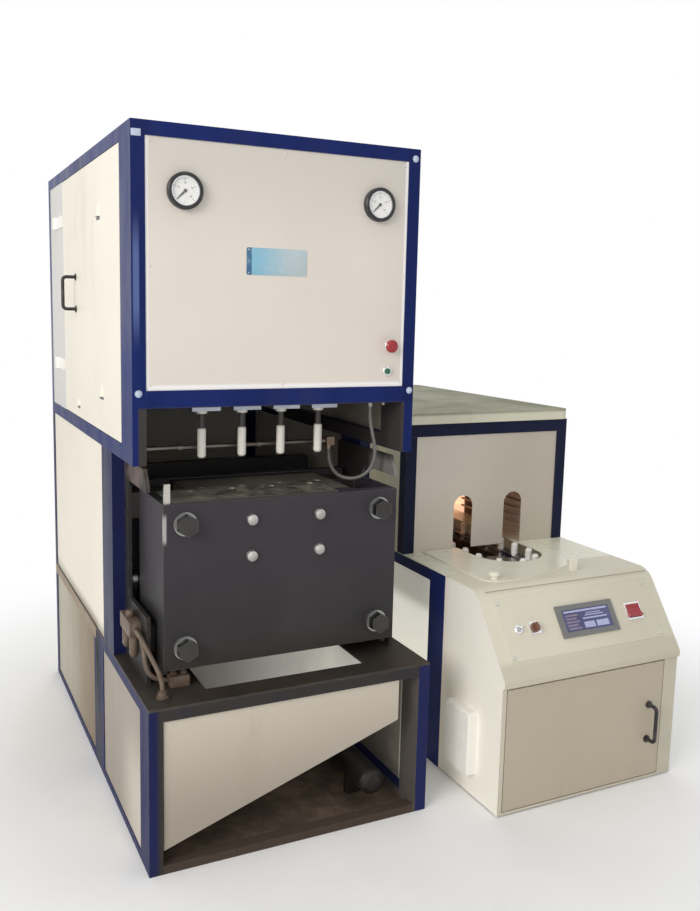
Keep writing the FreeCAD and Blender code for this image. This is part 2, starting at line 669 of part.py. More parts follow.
platen_x = (s.platen_left, wide - s.platen_left)
platen_rise = (s.platen_low, s.platen_top)
platen_back = s.platen_front + s.platen_thick
mould_x = (s.mould_left, wide - s.mould_left - 1)
mould_rise = (s.mould_low, s.mould_top)
front_mould = (s.parting_y - s.mould_thick, s.parting_y)
rear_mould = (s.parting_y, s.parting_y + s.mould_thick)
tie_spots = [(x, z) for x in (s.tie_x, wide - s.tie_x) for z in (s.tie_low, s.tie_high)]
rear_platen_front = rear_mould[1] + s.platen_thick
rear_platen_back = rear_platen_front + s.platen_thick
yoke = (rear_platen_back + s.yoke_gap, rear_platen_back + s.yoke_gap + s.platen_thick)
axis_spot = (wide / 2, (s.tie_low + s.tie_high) / 2)
tie_gap = s.slide_gap + 0.7


def bored(name, base, axis, spots, ends, radius):
    holes = [rod(f"{name}_bore_{n}", axis, spot, ends, radius) for n, spot in enumerate(spots)]
    return cut(name, base, *holes)


def link_rows(label, ys, z):
    """The flat bar of one platen's equaliser link, on both sides."""
    bar_x = (s.link_x, s.link_x + s.link_thick)
    rise = (z - s.link_tall / 2, z + s.link_tall / 2)
    return [block(f"{label}_link_{number}", xs, ys, rise)
            for number, xs in enumerate((bar_x, opposite(bar_x)))]


swing = s.clamp_travel / 2
front_pin_y = s.lever_y + swing
rear_pin_y = s.lever_y - swing
front_pin_z = s.lever_z - s.lever_arm
rear_pin_z = s.lever_z + s.lever_arm
pin_over = 20


def link_pins(label, y, z):
    pin_x = (s.lever_x - 2, s.link_x)
    return [rod(f"{label}_pin_{number}", "x", (y, z), xs, s.lever_pin)
            for number, xs in enumerate((pin_x, opposite(pin_x)))]


def front_platen():
    slab = block("front_slab", platen_x, (s.platen_front, platen_back), platen_rise)
    ends = (s.platen_front - 5, platen_back + 5)
    drilled = bored("front_platen_plate", slab, "y", tie_spots, ends, s.tie_radius)
    backing = block("front_backing", mould_x, (platen_back, front_mould[0]),
                    (s.platen_low, s.mould_top))
    links = link_rows("front", (platen_back, front_pin_y + pin_over), front_pin_z)
    node("front_platen", drilled, backing, *platen_wings(), *links,
         *link_pins("front", front_pin_y, front_pin_z))


def platen_wings():
    """The side plates behind the front platen, stepped to pass the low tie-bar guides."""
    outline = [(platen_back, s.platen_low), (s.wing_foot, s.platen_low),
               (s.wing_foot, s.wing_low), (s.wing_back, s.wing_low),
               (s.wing_back, s.platen_top), (platen_back, s.platen_top)]
    wing_x = (s.platen_left, s.platen_left + s.wing_thick)
    return [plate(f"wing_{side}", "YZ", outline, xs[0], s.wing_thick)
            for side, xs in (("left", wing_x), ("right", opposite(wing_x)))]


def rear_platen():
    slab = block("rear_slab", platen_x, (rear_platen_front, rear_platen_back), platen_rise)
    ends = (rear_platen_front - 5, rear_platen_back + 5)
    drilled = bored("rear_platen_plate", slab, "y", tie_spots, ends, s.tie_radius + tie_gap)
    backing = block("rear_backing", mould_x, (rear_mould[1], rear_platen_front),
                    (s.platen_low, s.mould_top))
    links = link_rows("rear", (rear_pin_y - pin_over, rear_platen_front), rear_pin_z)
    node("rear_platen", drilled, backing, *links, *link_pins("rear", rear_pin_y, rear_pin_z))


def bottle(name, x):
    """The space of one bottle: body, shoulder and neck."""
    low = s.bottle_low
    body, neck = s.bottle_radius, s.neck_radius
    profile = [(zero, zero), (body - 6, zero), (body, 6), (body, s.shoulder_low - low),
               (neck, s.neck_low - low), (neck, s.mould_top - low + 5),
               (zero, s.mould_top - low + 5)]
    return turned(name, "z", (x, s.parting_y), low, profile)


def mould(label, ys):
    half = block(label + "_slab", mould_x, ys, mould_rise)
    spaces = [bottle(f"{label}_bottle_{number}", x) for number, x in enumerate(stations)]
    node(label, cut(label + "_half", half, *spaces))


def tie_bars():
    ends = (s.platen_front, yoke[1])
    node("tie_bars", *[rod(f"tie_bar_{n}", "y", spot, ends, s.tie_radius)
                       for n, spot in enumerate(tie_spots)])


def hexagon(centre, across):
    """The six corners of a nut whose flats lie left and right."""
    reach = across / 2 / math.cos(math.pi / 6)
    x, z = centre
    return [(x + reach * math.sin(math.radians(60 * k)), z + reach * math.cos(math.radians(60 * k)))
            for k in range(6)]


def platen_fasteners():
    pieces = []
    face = s.platen_front
    seat = face - s.washer_thick
    for number, spot in enumerate(tie_spots):
        pieces.append(rod(f"tie_washer_{number}", "y", spot, (seat, face), s.washer_radius))
        pieces.append(plate(f"tie_nut_{number}", "XZ", hexagon(spot, s.nut_across),
                            seat - s.nut_tall, s.nut_tall))
    spots = [(x, z) for x in (s.bolt_left, s.bolt_right) for z in (s.bolt_low, s.bolt_high)]
    head = s.bolt_radius
    profile = [(zero, zero), (head * 0.7, zero), (head, head * 0.35), (head, head * 0.9),
               (zero, head * 0.9)]
    for number, spot in enumerate(spots):
        pieces.append(turned(f"mould_bolt_{number}", "y", spot, face - head * 0.9, profile))
    node("platen_fasteners", *pieces, top_strap(), stop_lug())


def top_strap():
    """The plate screwed over the platen and the front mould half, with its four holes."""
    rise = (s.platen_top, s.platen_top + s.strap_thick)
    slab = block("strap_slab", (s.strap_left, s.strap_right), (s.strap_front, s.strap_back), rise)
    spots = [(s.strap_first + s.station_pitch * n, s.strap_hole_y) for n in range(4)]
    return bored("strap", slab, "z", spots, (rise[0] - 5, rise[1] + 5), s.strap_hole)


def stop_lug():
    """The upright flat that stops the blow head's guard, on the platen's left corner."""
    front = s.platen_front + s.lug_thick
    return block("stop_lug", (s.lug_left, s.lug_left + s.lug_wide),
                 (front, front + s.lug_thick), (s.platen_top, s.platen_top + s.lug_tall))


def clamp_cylinder():
    slab = block("yoke_slab", platen_x, yoke, platen_rise)
    ends = (yoke[0] - 5, yoke[1] + 5)
    ties = [rod(f"yoke_tie_{n}", "y", spot, ends, s.tie_radius)
            for n, spot in enumerate(tie_spots)]
    rod_bore = rod("yoke_rod_bore", "y", axis_spot, ends, s.piston_rod + s.slide_gap + 0.2)
    long = s.cylinder_long
    outer, inside = s.cylinder_radius, s.cylinder_radius - s.cylinder_wall
    cap = s.cylinder_wall
    profile = [(inside, zero), (outer, zero), (outer, long), (zero, long), (zero, long - cap),
               (inside, long - cap)]
    barrel = turned("clamp_barrel", "y", axis_spot, yoke[1], profile)
    node("clamp_cylinder", cut("yoke_plate", slab, rod_bore, *ties), barrel)


def clamp_piston():
    front = rear_platen_back
    head = yoke[1] + 4
    inside = s.cylinder_radius - s.cylinder_wall - s.slide_gap - 0.2
    thin = s.piston_rod
    profile = [(zero, zero), (thin * 1.5, zero), (thin * 1.5, 16), (thin, 16),
               (thin, head - front), (inside, head - front),
               (inside, head - front + s.piston_thick), (zero, head - front + s.piston_thick)]
    node("clamp_piston", turned("piston", "y", axis_spot, front, profile))


def cheek_outline():
    """A C-frame: the arms above and below the throat carry the clamp's load to the posts."""
    front, back = s.cheek_front, waist_post[1]
    nose = s.cheek_nose
    return [(front, s.base_tall), (back, s.base_tall), (back, s.cheek_top),
            (front + nose * 0.65, s.cheek_top), (front, s.cheek_top - nose),
            (front, s.throat_top), (s.throat_back, s.throat_top),
            (s.throat_back, s.throat_low), (front, s.throat_low)]


def clamp_side_plates():
    """The cheeks bolted to the waist posts, with the tie-bar guides and the lever pivots."""
    pieces = []
    cheek_x = (s.bar_wide, s.bar_wide + s.cheek_thick)
    guide_x = (cheek_x[1], cheek_x[1] + s.guide_wide)
    pivot_x = (cheek_x[1], s.lever_x + s.lever_thick + 2)
    guides = (("low", s.tie_low, (s.low_guide_front, s.low_guide_back)),
              ("high", s.tie_high, (s.high_guide_front, s.high_guide_back)))
    rounds = [(s.throat_back, z, s.throat_round) for z in (s.throat_top, s.throat_low)]
    for side, turn in (("left", lambda xs: xs), ("right", opposite)):
        xs = turn(cheek_x)
        pieces.append(plate(f"cheek_{side}", "YZ", cheek_outline(), xs[0], s.cheek_thick, rounds))
        for name, z, ys in guides:
            rise = (z - s.guide_tall / 2, z + s.guide_tall / 2)
            guide = block(f"guide_{name}_{side}_block", turn(guide_x), ys, rise)
            centre = turn((s.tie_x, s.tie_x))[0]
            hole = rod(f"guide_{name}_{side}_hole", "y", (centre, z), (ys[0] - 5, ys[1] + 5),
                       s.tie_radius + s.slide_gap)
            pieces.append(cut(f"guide_{name}_{side}", guide, hole))
        pieces.append(rod(f"pivot_{side}", "x", (s.lever_y, s.lever_z), turn(pivot_x),
                          s.lever_pivot))
    node("clamp_side_plates", *pieces)


def equaliser(label, xs):
    """A lever with a bore for its pivot and a slot near each end for the links' pins."""
    lean = s.lever_lean
    far = s.lever_arm / cosine(s.lever_lean) + 3
    near = s.lever_arm - 3
    half = s.lever_slot + s.lever_wall
    y, z = s.lever_y, s.lever_z
    body = block(label + "_bar", xs, (-half, half), (-far, far))
    ends = [rod(f"{label}_end_{n}", "x", (zero, height), xs, half)
            for n, height in enumerate((far, -far))]
    blank = fuse(label + "_blank", body, *ends)
    over = (xs[0] - 5, xs[1] + 5)
    tools = [rod(label + "_bore", "x", (zero, zero), over, s.lever_pivot + s.slide_gap)]
    for n, (low, high) in enumerate(((near, far), (-far, -near))):
        window = block(f"{label}_window_{n}", over, (-s.lever_slot, s.lever_slot), (low, high))
        rounds = [rod(f"{label}_slot_end_{n}{m}", "x", (zero, height), over, s.lever_slot)
                  for m, height in enumerate((low, high))]
        tools.append(fuse(f"{label}_slot_{n}", window, *rounds))
    lever = cut(label + "_lever", blank, *tools)
    place(lever, 0, y, z)
    lever.Placement = FreeCAD.Placement(FreeCAD.Vector(),
                                        FreeCAD.Rotation(FreeCAD.Vector(1, 0, 0), float(lean)))
    bind(lever, ".Placement.Rotation.Angle", lean)
    return node(label, lever)


# ---------------------------------------------------------------- blowing and stretching head

head_plate_x = (s.head_plate_left, wide - s.head_plate_left)
head_plate_y = (s.parting_y - s.head_plate_deep / 2, s.parting_y + s.head_plate_deep / 2)
block_top = s.block_low + s.block_tall
plate_top = block_top + s.head_plate_tall
guide_rods = [(x, s.parting_y) for x in (s.guide_rod_x, wide - s.guide_rod_x)]
lift_spots = [(x, s.parting_y) for x in (s.lift_x, wide - s.lift_x)]
cross_top = s.cross_low + s.cross_thick
rodless_spot = (wide / 2, s.rodless_y)
rod_clear = s.slide_gap + 0.2


def blow_head():
    """The lifting plate with a block over each bottle, its guide bushes and lift pistons."""
    slab = block("head_slab", head_plate_x, head_plate_y, (block_top, plate_top))
    over = (block_top - 5, plate_top + 5)
    holes = [rod(f"head_guide_hole_{n}", "z", spot, over, s.guide_rod_radius + 1)
             for n, spot in enumerate(guide_rods)]
    holes += [rod(f"head_rod_hole_{n}", "z", (x, s.parting_y), over, s.rod_radius + rod_clear)
              for n, x in enumerate(stations)]
    pieces = [cut("head_plate", slab, *holes)]
    half, deep = s.block_wide / 2, s.block_deep / 2
    for number, x in enumerate(stations):
        cube = block(f"block_{number}", (x - half, x + half),
                     (s.parting_y - deep, s.parting_y + deep), (s.block_low, block_top))
        bore = rod(f"block_bore_{number}", "z", (x, s.parting_y),
                   (s.block_low - 5, block_top + 5), s.rod_radius + rod_clear)
        pieces.append(cut(f"valve_block_{number}", cube, bore))
    for number, spot in enumerate(guide_rods):
        inner_radius = s.guide_rod_radius + s.slide_gap
        profile = [(inner_radius, zero), (inner_radius + 14, zero), (inner_radius + 14, 10),
                   (inner_radius + 8, 10), (inner_radius + 8, 80), (inner_radius, 80)]
        pieces.append(turned(f"guide_bush_{number}", "z", spot, plate_top, profile))
    for number, spot in enumerate(lift_spots):
        inside = s.lift_radius - s.lift_wall - s.slide_gap
        top = s.cross_low + s.cross_thick + s.lift_long - 50 - plate_top
        profile = [(zero, zero), (s.lift_rod, zero), (s.lift_rod, top), (inside, top),
                   (inside, top + 20), (zero, top + 20)]
        pieces.append(turned(f"lift_piston_{number}", "z", spot, plate_top, profile))
    column = rod("rodless_tube", "z", rodless_spot, (plate_top, s.cross_low - 8),
                 s.rodless_radius)
    node("blow_head", *pieces, column)


def nozzles():
    """A seal sleeve on a stem below each block, with the stretch rod's bore through both."""
    pieces = []
    bore = s.rod_radius + rod_clear
    long = s.sleeve_top - s.nozzle_low
    stem = s.block_low - s.sleeve_top
    for number, x in enumerate(stations):
        spot = (x, s.parting_y)
        wide_ring, thin = s.sleeve_radius, s.stem_radius
        sleeve = [(bore, zero), (wide_ring - 4, zero), (wide_ring, 5), (wide_ring, long - 2),
                  (wide_ring - 2, long), (bore, long)]
        neck = [(bore, zero), (thin, zero), (thin, stem - 12), (thin + 7, stem - 12),
                (thin + 7, stem), (bore, stem)]
        pieces.append(turned(f"sleeve_{number}", "z", spot, s.nozzle_low, sleeve))
        pieces.append(turned(f"stem_{number}", "z", spot, s.sleeve_top, neck))
    node("nozzles", *pieces)


def stretch_rods():
    """Four rods hung from a crosshead that slides on the rodless cylinder's tube."""
    half = s.block_wide / 2
    span = (stations[0] - half, stations[3] + half)
    back = s.rodless_y + s.rodless_radius + 12
    rise = (s.crosshead_low, s.crosshead_low + s.crosshead_thick)
    bar = block("crosshead_bar", span, (head_plate_y[0] + 20, back), rise)
    hole = rod("crosshead_hole", "z", rodless_spot, (rise[0] - 5, rise[1] + 5),
               s.rodless_radius + s.slide_gap)
    pieces = [cut("crosshead", bar, hole)]
    tip = s.rod_radius
    long = rise[0] - s.nozzle_low - 6
    for number, x in enumerate(stations):
        profile = [(zero, zero), (tip * 0.6, zero), (tip, tip * 0.8), (tip, long), (zero, long)]
        pieces.append(turned(f"stretch_rod_{number}", "z", (x, s.parting_y), s.nozzle_low + 6,
                             profile))
    node("stretch_rods", *pieces)


def head_carrier():
    """The fixed cross plate on its two side rails, with the blow head's guide rods."""
    cross_y = (head_plate_y[0] - 20, s.rodless_y + 60)
    slab = block("cross_slab", inner, cross_y, (s.cross_low, cross_top))
    over = (s.cross_low - 5, cross_top + 5)
    holes = [rod(f"cross_lift_hole_{n}", "z", spot, over, s.lift_rod + 1)
             for n, spot in enumerate(lift_spots)]
    rail_x = (s.bar_wide, s.bar_wide + 20)
    rail_y = (s.head_post_deep - s.bar_wide, s.door_post + s.bar_wide)
    rails = [block(f"side_rail_{n}", xs, rail_y, (s.cross_low - s.bar_wide, s.cross_low))
             for n, xs in enumerate((rail_x, opposite(rail_x)))]
    rods = [rod(f"guide_rod_{n}", "z", spot, (s.block_low + 10, s.cross_low), s.guide_rod_radius)
            for n, spot in enumerate(guide_rods)]
    node("head_carrier", cut("cross_plate", slab, *holes), *rails, *rods)


def air_cylinders():
    pieces = []
    outer, inside = s.lift_radius, s.lift_radius - s.lift_wall
    long = s.lift_long
    for number, spot in enumerate(lift_spots):
        profile = [(s.lift_rod + 1, zero), (outer + 5, zero), (outer + 5, 14), (outer, 14),
                   (outer, long - 14), (outer + 5, long - 14), (outer + 5, long), (zero, long),
                   (zero, long - 8), (inside, long - 8), (inside, 8), (s.lift_rod + 1, 8)]
        pieces.append(turned(f"lift_barrel_{number}", "z", spot, cross_top, profile))
    node("air_cylinders", *pieces)


# ---------------------------------------------------------------- air line and hose

elbow_x = s.pipe_right + 14
socket_x = wide - s.socket_inset


def air_manifold():
    """The pipe across the bay, the elbow at its end and the socket that the hose drops from."""
    radius = s.pipe_radius
    line = (s.pipe_y, s.pipe_z)
    pipe = rod("bay_pipe", "x", line, (s.bar_wide, s.pipe_right), radius)
    body = block("elbow_block", (s.pipe_right, s.pipe_right + 28),
                 (s.pipe_y - 14, s.pipe_y + 14), (s.pipe_z - 14, s.pipe_z + 14))
    spigot = rod("elbow_spigot", "z", (elbow_x, s.pipe_y), (s.pipe_z - 26, s.pipe_z - 14),
                 s.hose_radius + 3)
    clips = []
    for number, x in enumerate((stations[0] - 66, stations[1] + 66, stations[3] + 30)):
        profile = [(radius, zero), (radius + 4, zero), (radius + 4, 12), (radius, 12)]
        clips.append(turned(f"pipe_ring_{number}", "x", line, x, profile))
    bracket = block("socket_bracket", (socket_x - 20, socket_x + 60),
                    (s.bar_wide, s.socket_y + 20), (s.brow_low, s.brow_low + 5))
    socket = rod("hose_socket", "z", (socket_x, s.socket_y), (s.socket_low, s.brow_low),
                 s.hose_radius + 4)
    screw = rod("bracket_screw", "z", (socket_x + 42, s.socket_y - 10),
                (s.brow_low - 14, s.brow_low), 8)
    node("air_manifold", pipe, body, spigot, *clips, bracket, socket, screw)


def service_unit():
    """The filter and oiler beside the left cheek, with the pipe that feeds the table."""
    x, z = s.service_x, s.service_z
    half, pitch = s.service_wide / 2, s.service_pitch
    fronts = [s.service_front + pitch * number for number in range(3)]
    body = block("service_body", (x - half, x + half), (fronts[0] - half, fronts[2] + half),
                 (z, z + s.service_tall))
    cap = [(zero, zero), (half * 0.8, zero), (half * 0.8, 14), (half * 0.6, 20), (zero, 20)]
    top = z + s.service_tall
    bowl_radius, bowl = half * 0.85, s.bowl_tall
    profile = [(zero, -bowl), (bowl_radius * 0.5, -bowl), (bowl_radius, 12 - bowl),
               (bowl_radius, zero), (zero, zero)]
    pieces = [body, turned("service_cap", "z", (x, fronts[1]), top, cap)]
    for number, y in enumerate((fronts[0], fronts[2])):
        pieces.append(turned(f"service_bowl_{number}", "z", (x, y), z, profile))
    plate_x = (x + half, s.bar_wide)
    pieces.append(block("service_bracket", plate_x, (fronts[0] - half, fronts[2] + half),
                        (z + 8, top - 8)))
    mouth = (x, fronts[0] - half, z + s.service_tall / 2)
    pieces.append(feed_pipe(mouth))
    node("service_unit", *pieces)


def feed_pipe(mouth):
    """A bent steel pipe from the unit down to a flange on the table in front of the clamp."""
    x, y, z = (float(length) for length in mouth)
    deck = float(s.base_tall)
    foot_x, foot_y = float(s.feed_x), float(s.feed_y)
    route = [(x, y, z), (x, y - 75, z), (foot_x, foot_y + 40, deck + 62),
             (foot_x, foot_y, deck + 40), (foot_x, foot_y, deck)]
    path, _ = hose_path(route)
    start = FreeCAD.Vector(*route[0])
    way = FreeCAD.Vector(*route[1]) - start
    ring = Part.Wire([Part.Circle(start, way, float(s.feed_radius)).toShape()])
    pipe = path.makePipeShell([ring], True, False)
    foot = FreeCAD.Vector(foot_x, foot_y, deck)
    flange = Part.makeCylinder(float(s.feed_radius) * 2.6, 8, foot)
    nut = Part.makeCylinder(float(s.feed_radius) * 1.8, 20, foot)
    return drawn("feed_pipe", pipe.fuse([flange, nut]).removeSplitter())


HOSE_ROUTE = [(790, 70, 1296), (790, 70, 1256), (800, 70, 1212), (812, 71, 1166),
              (814, 74, 1119), (798, 83, 1078), (764, 99, 1055), (732, 127, 1053),
              (717, 162, 1063), (714, 194, 1083), (714, 215, 1111), (714, 215, 1141)]


def hose_path(points):
    """Straight runs joined by tangent arcs, each as large as its two runs allow."""
    spots = [FreeCAD.Vector(*point) for point in points]
    edges = []
    start = spots[0]
    radii = []
    for before, here, after in zip(spots, spots[1:], spots[2:]):
        back = (before - here)
        ahead = (after - here)
        shorter = min(back.Length, ahead.Length) * 0.45
        turn = math.pi - back.getAngle(ahead)
        radii.append(shorter / math.tan(turn / 2))
        back.normalize()
        ahead.normalize()
        first, last = here + back * shorter, here + ahead * shorter
        middle = (back + ahead).normalize()
        reach = radii[-1] / math.cos(turn / 2) - radii[-1]
        edges.append(Part.LineSegment(start, first).toShape())
        edges.append(Part.Arc(first, here + middle * reach, last).toShape())
        start = last
    edges.append(Part.LineSegment(start, spots[-1]).toShape())
    return Part.Wire(edges), radii


def air_hose():
    path, radii = hose_path(HOSE_ROUTE)
    radius = float(s.hose_radius)
    first = FreeCAD.Vector(*HOSE_ROUTE[0])
    second = FreeCAD.Vector(*HOSE_ROUTE[1])
    ring = Part.Wire([Part.Circle(first, second - first, radius).toShape()])
    tube = path.makePipeShell([ring], True, False)
    expected = math.pi * radius ** 2 * path.Length
    print("hose radii", [round(r) for r in radii], "volume share", round(tube.Volume / expected, 4))
    node("air_hose", drawn("hose_tube", tube))


# ---------------------------------------------------------------- heater: frame, deck and oven

heater_x = (s.heater_left, heater_right)
heater_sides = ((s.heater_left, s.heater_left + s.heater_bar),
                (heater_right - s.heater_bar, heater_right))
heater_inner = (heater_sides[0][1], heater_sides[1][0])
sheet_low = s.heater_deck - s.panel_set
oven_rail_low = s.oven_tall - s.oven_rail
heater_post = (s.heater_front, s.heater_front + s.heater_post_deep)
heater_rear = (s.heater_back - s.heater_bar, s.heater_back)
rail_rise = (sheet_low - s.heater_rail, sheet_low)
shelf_rise = (rail_rise[0] - 140, rail_rise[0] - 100)
wheel_spread = s.chain_pitch * s.straight_links
rear_wheel_y = s.front_wheel_y + wheel_spread
chain_radius = s.chain_pitch / (2 * sine(180 / s.wheel_notches))


def heater_frame():
    rows = []
    low_rail = (zero, s.heater_rail)
    sides = (heater_post[1], heater_rear[0])
    for xs in heater_sides:
        rows.append((xs, heater_post, (zero, sheet_low)))
        rows.append((xs, heater_rear, (zero, sheet_low)))
        inset = (xs[0] + 6, xs[1] - 6)
        rows.append((xs, sides, low_rail))
        rows.append((xs, sides, rail_rise))
        rows.append((inset, sides, shelf_rise))
    front_bar = (s.heater_front, s.heater_front + s.heater_rail)
    for ys in (front_bar, heater_rear):
        rows.append((heater_inner, ys, low_rail))
        rows.append((heater_inner, ys, rail_rise))
    node("heater_frame", *bars("heater_frame", rows))


def heater_panels():
    skin = s.sheet_thick
    set_in = 4
    lanes = ((s.heater_left + set_in, s.heater_left + set_in + skin),
             (heater_right - set_in - skin, heater_right - set_in))
    rows = []
    for xs in lanes:
        rows.append((xs, (heater_post[1], heater_rear[0]), (s.heater_rail, rail_rise[0])))
        rows.append((xs, (s.oven_front + s.heater_bar, heater_rear[0]),
                     (s.heater_deck, oven_rail_low)))
    back = (s.heater_back - set_in - skin, s.heater_back - set_in)
    rows.append((heater_inner, back, (s.heater_rail, rail_rise[0])))
    rows.append((heater_inner, back, (s.heater_deck, oven_rail_low)))
    node("heater_panels", *bars("heater_panel", rows))


def heater_deck():
    """The table sheet, with one long round-ended hole over the whole conveyor."""
    slab = block("table_sheet", heater_x, (s.heater_front, s.heater_back),
                 (sheet_low, s.heater_deck))
    over = (sheet_low - 5, s.heater_deck + 5)
    node("heater_deck", cut("table", slab, long_hole("table_hole", over, s.deck_hole)))


def long_hole(name, rise, radius):
    ends = [rod(f"{name}_end_{n}", "z", (s.chain_x, y), rise, radius)
            for n, y in enumerate((s.front_wheel_y, rear_wheel_y))]
    middle = block(name + "_middle", (s.chain_x - radius, s.chain_x + radius),
                   (s.front_wheel_y, rear_wheel_y), rise)
    return fuse(name, middle, *ends)


def loading_plate():
    """The wear plate round the front of the deck hole, with its knob and stop post."""
    low, top = s.heater_deck, s.heater_deck + s.panel_set
    back, front = s.oven_front, s.plate_front
    left, right = s.chain_x - s.plate_left, s.chain_x + s.plate_right
    wing = left + s.plate_wing
    nose, nose_front = right - s.plate_nose, s.plate_nose_front
    outline = [(left, back), (left, front), (wing, front), (nose, nose_front),
               (right, s.plate_side_front), (right, back)]
    rounds = [(left, front, 55), (wing, front, 120), (nose, nose_front, 90),
              (right, s.plate_side_front, 90)]
    body = plate("wear_plate_blank", "XY", outline, low, top - low, rounds)
    hole = long_hole("wear_plate_hole", (low - 5, top + 5), s.deck_hole)
    knob = [(zero, zero), (13, zero), (13, 8), (20, 14), (19, 20), (12, 25), (zero, 26)]
    post_x = s.chain_x + s.post_x
    post = block("stop_post", (post_x, post_x + s.post_wide),
                 (s.post_front, s.post_front + s.post_wide), (low, low + s.post_tall))
    node("loading_plate", cut("wear_plate", body, hole),
         turned("plate_knob", "z", (s.chain_x - s.plate_knob_x, s.plate_knob_y), top, knob), post)


def oven_front_panel():
    skin = s.sheet_thick
    front = s.oven_front + 5
    slab = block("oven_front_sheet", heater_inner, (front, front + skin),
                 (s.heater_deck, oven_rail_low))
    through = (front - 5, front + skin + 5)
    half = s.slot_wide / 2
    arch = s.slot_top - half
    slots = []
    for number, x in enumerate((s.chain_x - chain_radius, s.chain_x + chain_radius)):
        window = block(f"oven_window_{number}", (x - half, x + half), through,
                       (s.heater_deck - 5, arch))
        crown = rod(f"oven_crown_{number}", "y", (x, arch), through, half)
        slots.append(fuse(f"oven_slot_{number}", window, crown))
    node("oven_front_panel", cut("oven_front", slab, *slots))


def oven_frame():
    rows = []
    front = (s.oven_front, s.oven_front + s.heater_bar)
    top = (oven_rail_low, s.oven_tall)
    for xs in heater_sides:
        for ys in (front, heater_rear):
            rows.append((xs, ys, (s.heater_deck, oven_rail_low)))
        rows.append((xs, (front[1], heater_rear[0]), top))
    for ys in (front, heater_rear):
        rows.append((heater_x, ys, top))
    node("oven_frame", *bars("oven_frame", rows))


def oven_cover():
    """A lid sheet folded down on all four sides, with its upright corners rounded."""
    over, skin = s.cover_over, s.sheet_thick
    left, right = s.heater_left - over, heater_right + over
    front, back = s.oven_front - over, s.heater_back + over
    corners = [(left, front), (right, front), (right, back), (left, back)]
    radius = s.cover_corner
    rounds = [(x, y, radius) for x, y in corners]
    solid = plate("cover_outside", "XY", corners, s.oven_tall, s.cover_tall, rounds)
    inset = [(left + skin, front + skin), (right - skin, front + skin),
             (right - skin, back - skin), (left + skin, back - skin)]
    small = [(x, y, radius - skin) for x, y in inset]
    hollow = plate("cover_inside", "XY", inset, s.oven_tall - 5, s.cover_tall + 5 - skin, small)
    pads = []
    for number, xs in enumerate(heater_sides):
        pads.append(block(f"cover_pad_{number}", (xs[0] + 8, xs[1] - 8),
                          (s.oven_front + 60, s.heater_back - 60),
                          (s.oven_tall, s.oven_tall + s.cover_tall - skin)))
    node("oven_cover", cut("cover", solid, hollow), *pads)


lamp_banks = (s.lamp_x, 2 * s.chain_x - s.lamp_x)


def lamp_heights():
    return [s.lamp_low + s.lamp_pitch * number for number in range(int(float(s.lamp_count)))]


def lamp_racks():
    """A reflector and two end brackets behind each bank of lamps."""
    pieces = []
    top = lamp_heights()[-1] + 25
    for bank, x in enumerate(lamp_banks):
        away = -1 if bank == 0 else 1
        sheet_x = sorted((x + away * 14, x + away * 16), key=float)
        pieces.append(block(f"reflector_{bank}", sheet_x, (s.rack_front, s.rack_back),
                            (s.heater_deck, top)))
        reach = sorted((x + away * 14, x - away * 14), key=float)
        for end, ys in enumerate(((s.rack_front, s.rack_front + 5),
                                  (s.rack_back - 5, s.rack_back))):
            ear = block(f"lamp_ear_{bank}{end}_sheet", reach, ys, (s.heater_deck, top))
            spots = [(x, z) for z in lamp_heights()]
            pieces.append(bored(f"lamp_ear_{bank}{end}", ear, "y", spots,
                                (ys[0] - 5, ys[1] + 5), s.lamp_radius))
    node("lamp_racks", *pieces)


def oven_lamps():
    ends = (s.rack_front - 6, s.rack_back + 6)
    node("oven_lamps", *[rod(f"lamp_{bank}_{n}", "y", (x, z), ends, s.lamp_radius)
                         for bank, x in enumerate(lamp_banks)
                         for n, z in enumerate(lamp_heights())])


# ---------------------------------------------------------------- heater: conveyor

plate_thick = s.link_plate
inner_low = s.wheel_low - s.plate_gap - plate_thick
outer_low = inner_low - plate_thick
inner_high = s.wheel_low + s.wheel_thick + s.plate_gap
outer_high = inner_high + plate_thick
chain_top = outer_high + plate_thick


def chain_pins():
    """Pin centres in running order, round the front wheel, back, round the rear one."""
    x, near, far = float(s.chain_x), float(s.front_wheel_y), float(rear_wheel_y)
    radius, pitch = float(chain_radius), float(s.chain_pitch)
    half = int(float(s.wheel_notches)) // 2
    runs = int(float(s.straight_links))
    step = math.pi / half
    near_arc = [(x + radius * math.cos(step * k), near - radius * math.sin(step * k))
                for k in range(half + 1)]
    out_run = [(x - radius, near + pitch * k) for k in range(1, runs)]
    far_arc = [(x - radius * math.cos(step * k), far + radius * math.sin(step * k))
               for k in range(half + 1)]
    back_run = [(x + radius, far - pitch * k) for k in range(1, runs)]
    return near_arc + out_run + far_arc + back_run


def link_outline(a, b, half):
    """The corners of a link plate round two pin centres, with its corners taken off."""
    along = FreeCAD.Vector(b[0] - a[0], b[1] - a[1], 0).normalize()
    across = FreeCAD.Vector(-along.y, along.x, 0)
    start, end = FreeCAD.Vector(a[0], a[1], 0), FreeCAD.Vector(b[0], b[1], 0)
    nip = half * 0.45
    corners = []
    for tip, way in ((start, -1), (end, 1)):
        corners += [tip + across * (half * way) + along * (way * nip),
                    tip + across * (nip * way) + along * (way * half),
                    tip - across * (nip * way) + along * (way * half),
                    tip - across * (half * way) + along * (way * nip)]
    return corners


def link_plate(a, b, low):
    half = float(s.link_half)
    corners = link_outline(a, b, half)
    face = Part.Face(Part.makePolygon(corners + corners[:1]))
    face.translate(FreeCAD.Vector(0, 0, float(low)))
    return face.extrude(FreeCAD.Vector(0, 0, float(plate_thick)))


def pin_shape(spot, radius, low, high):
    centre = FreeCAD.Vector(spot[0], spot[1], float(low))
    return Part.makeCylinder(float(radius), float(high - low), centre)


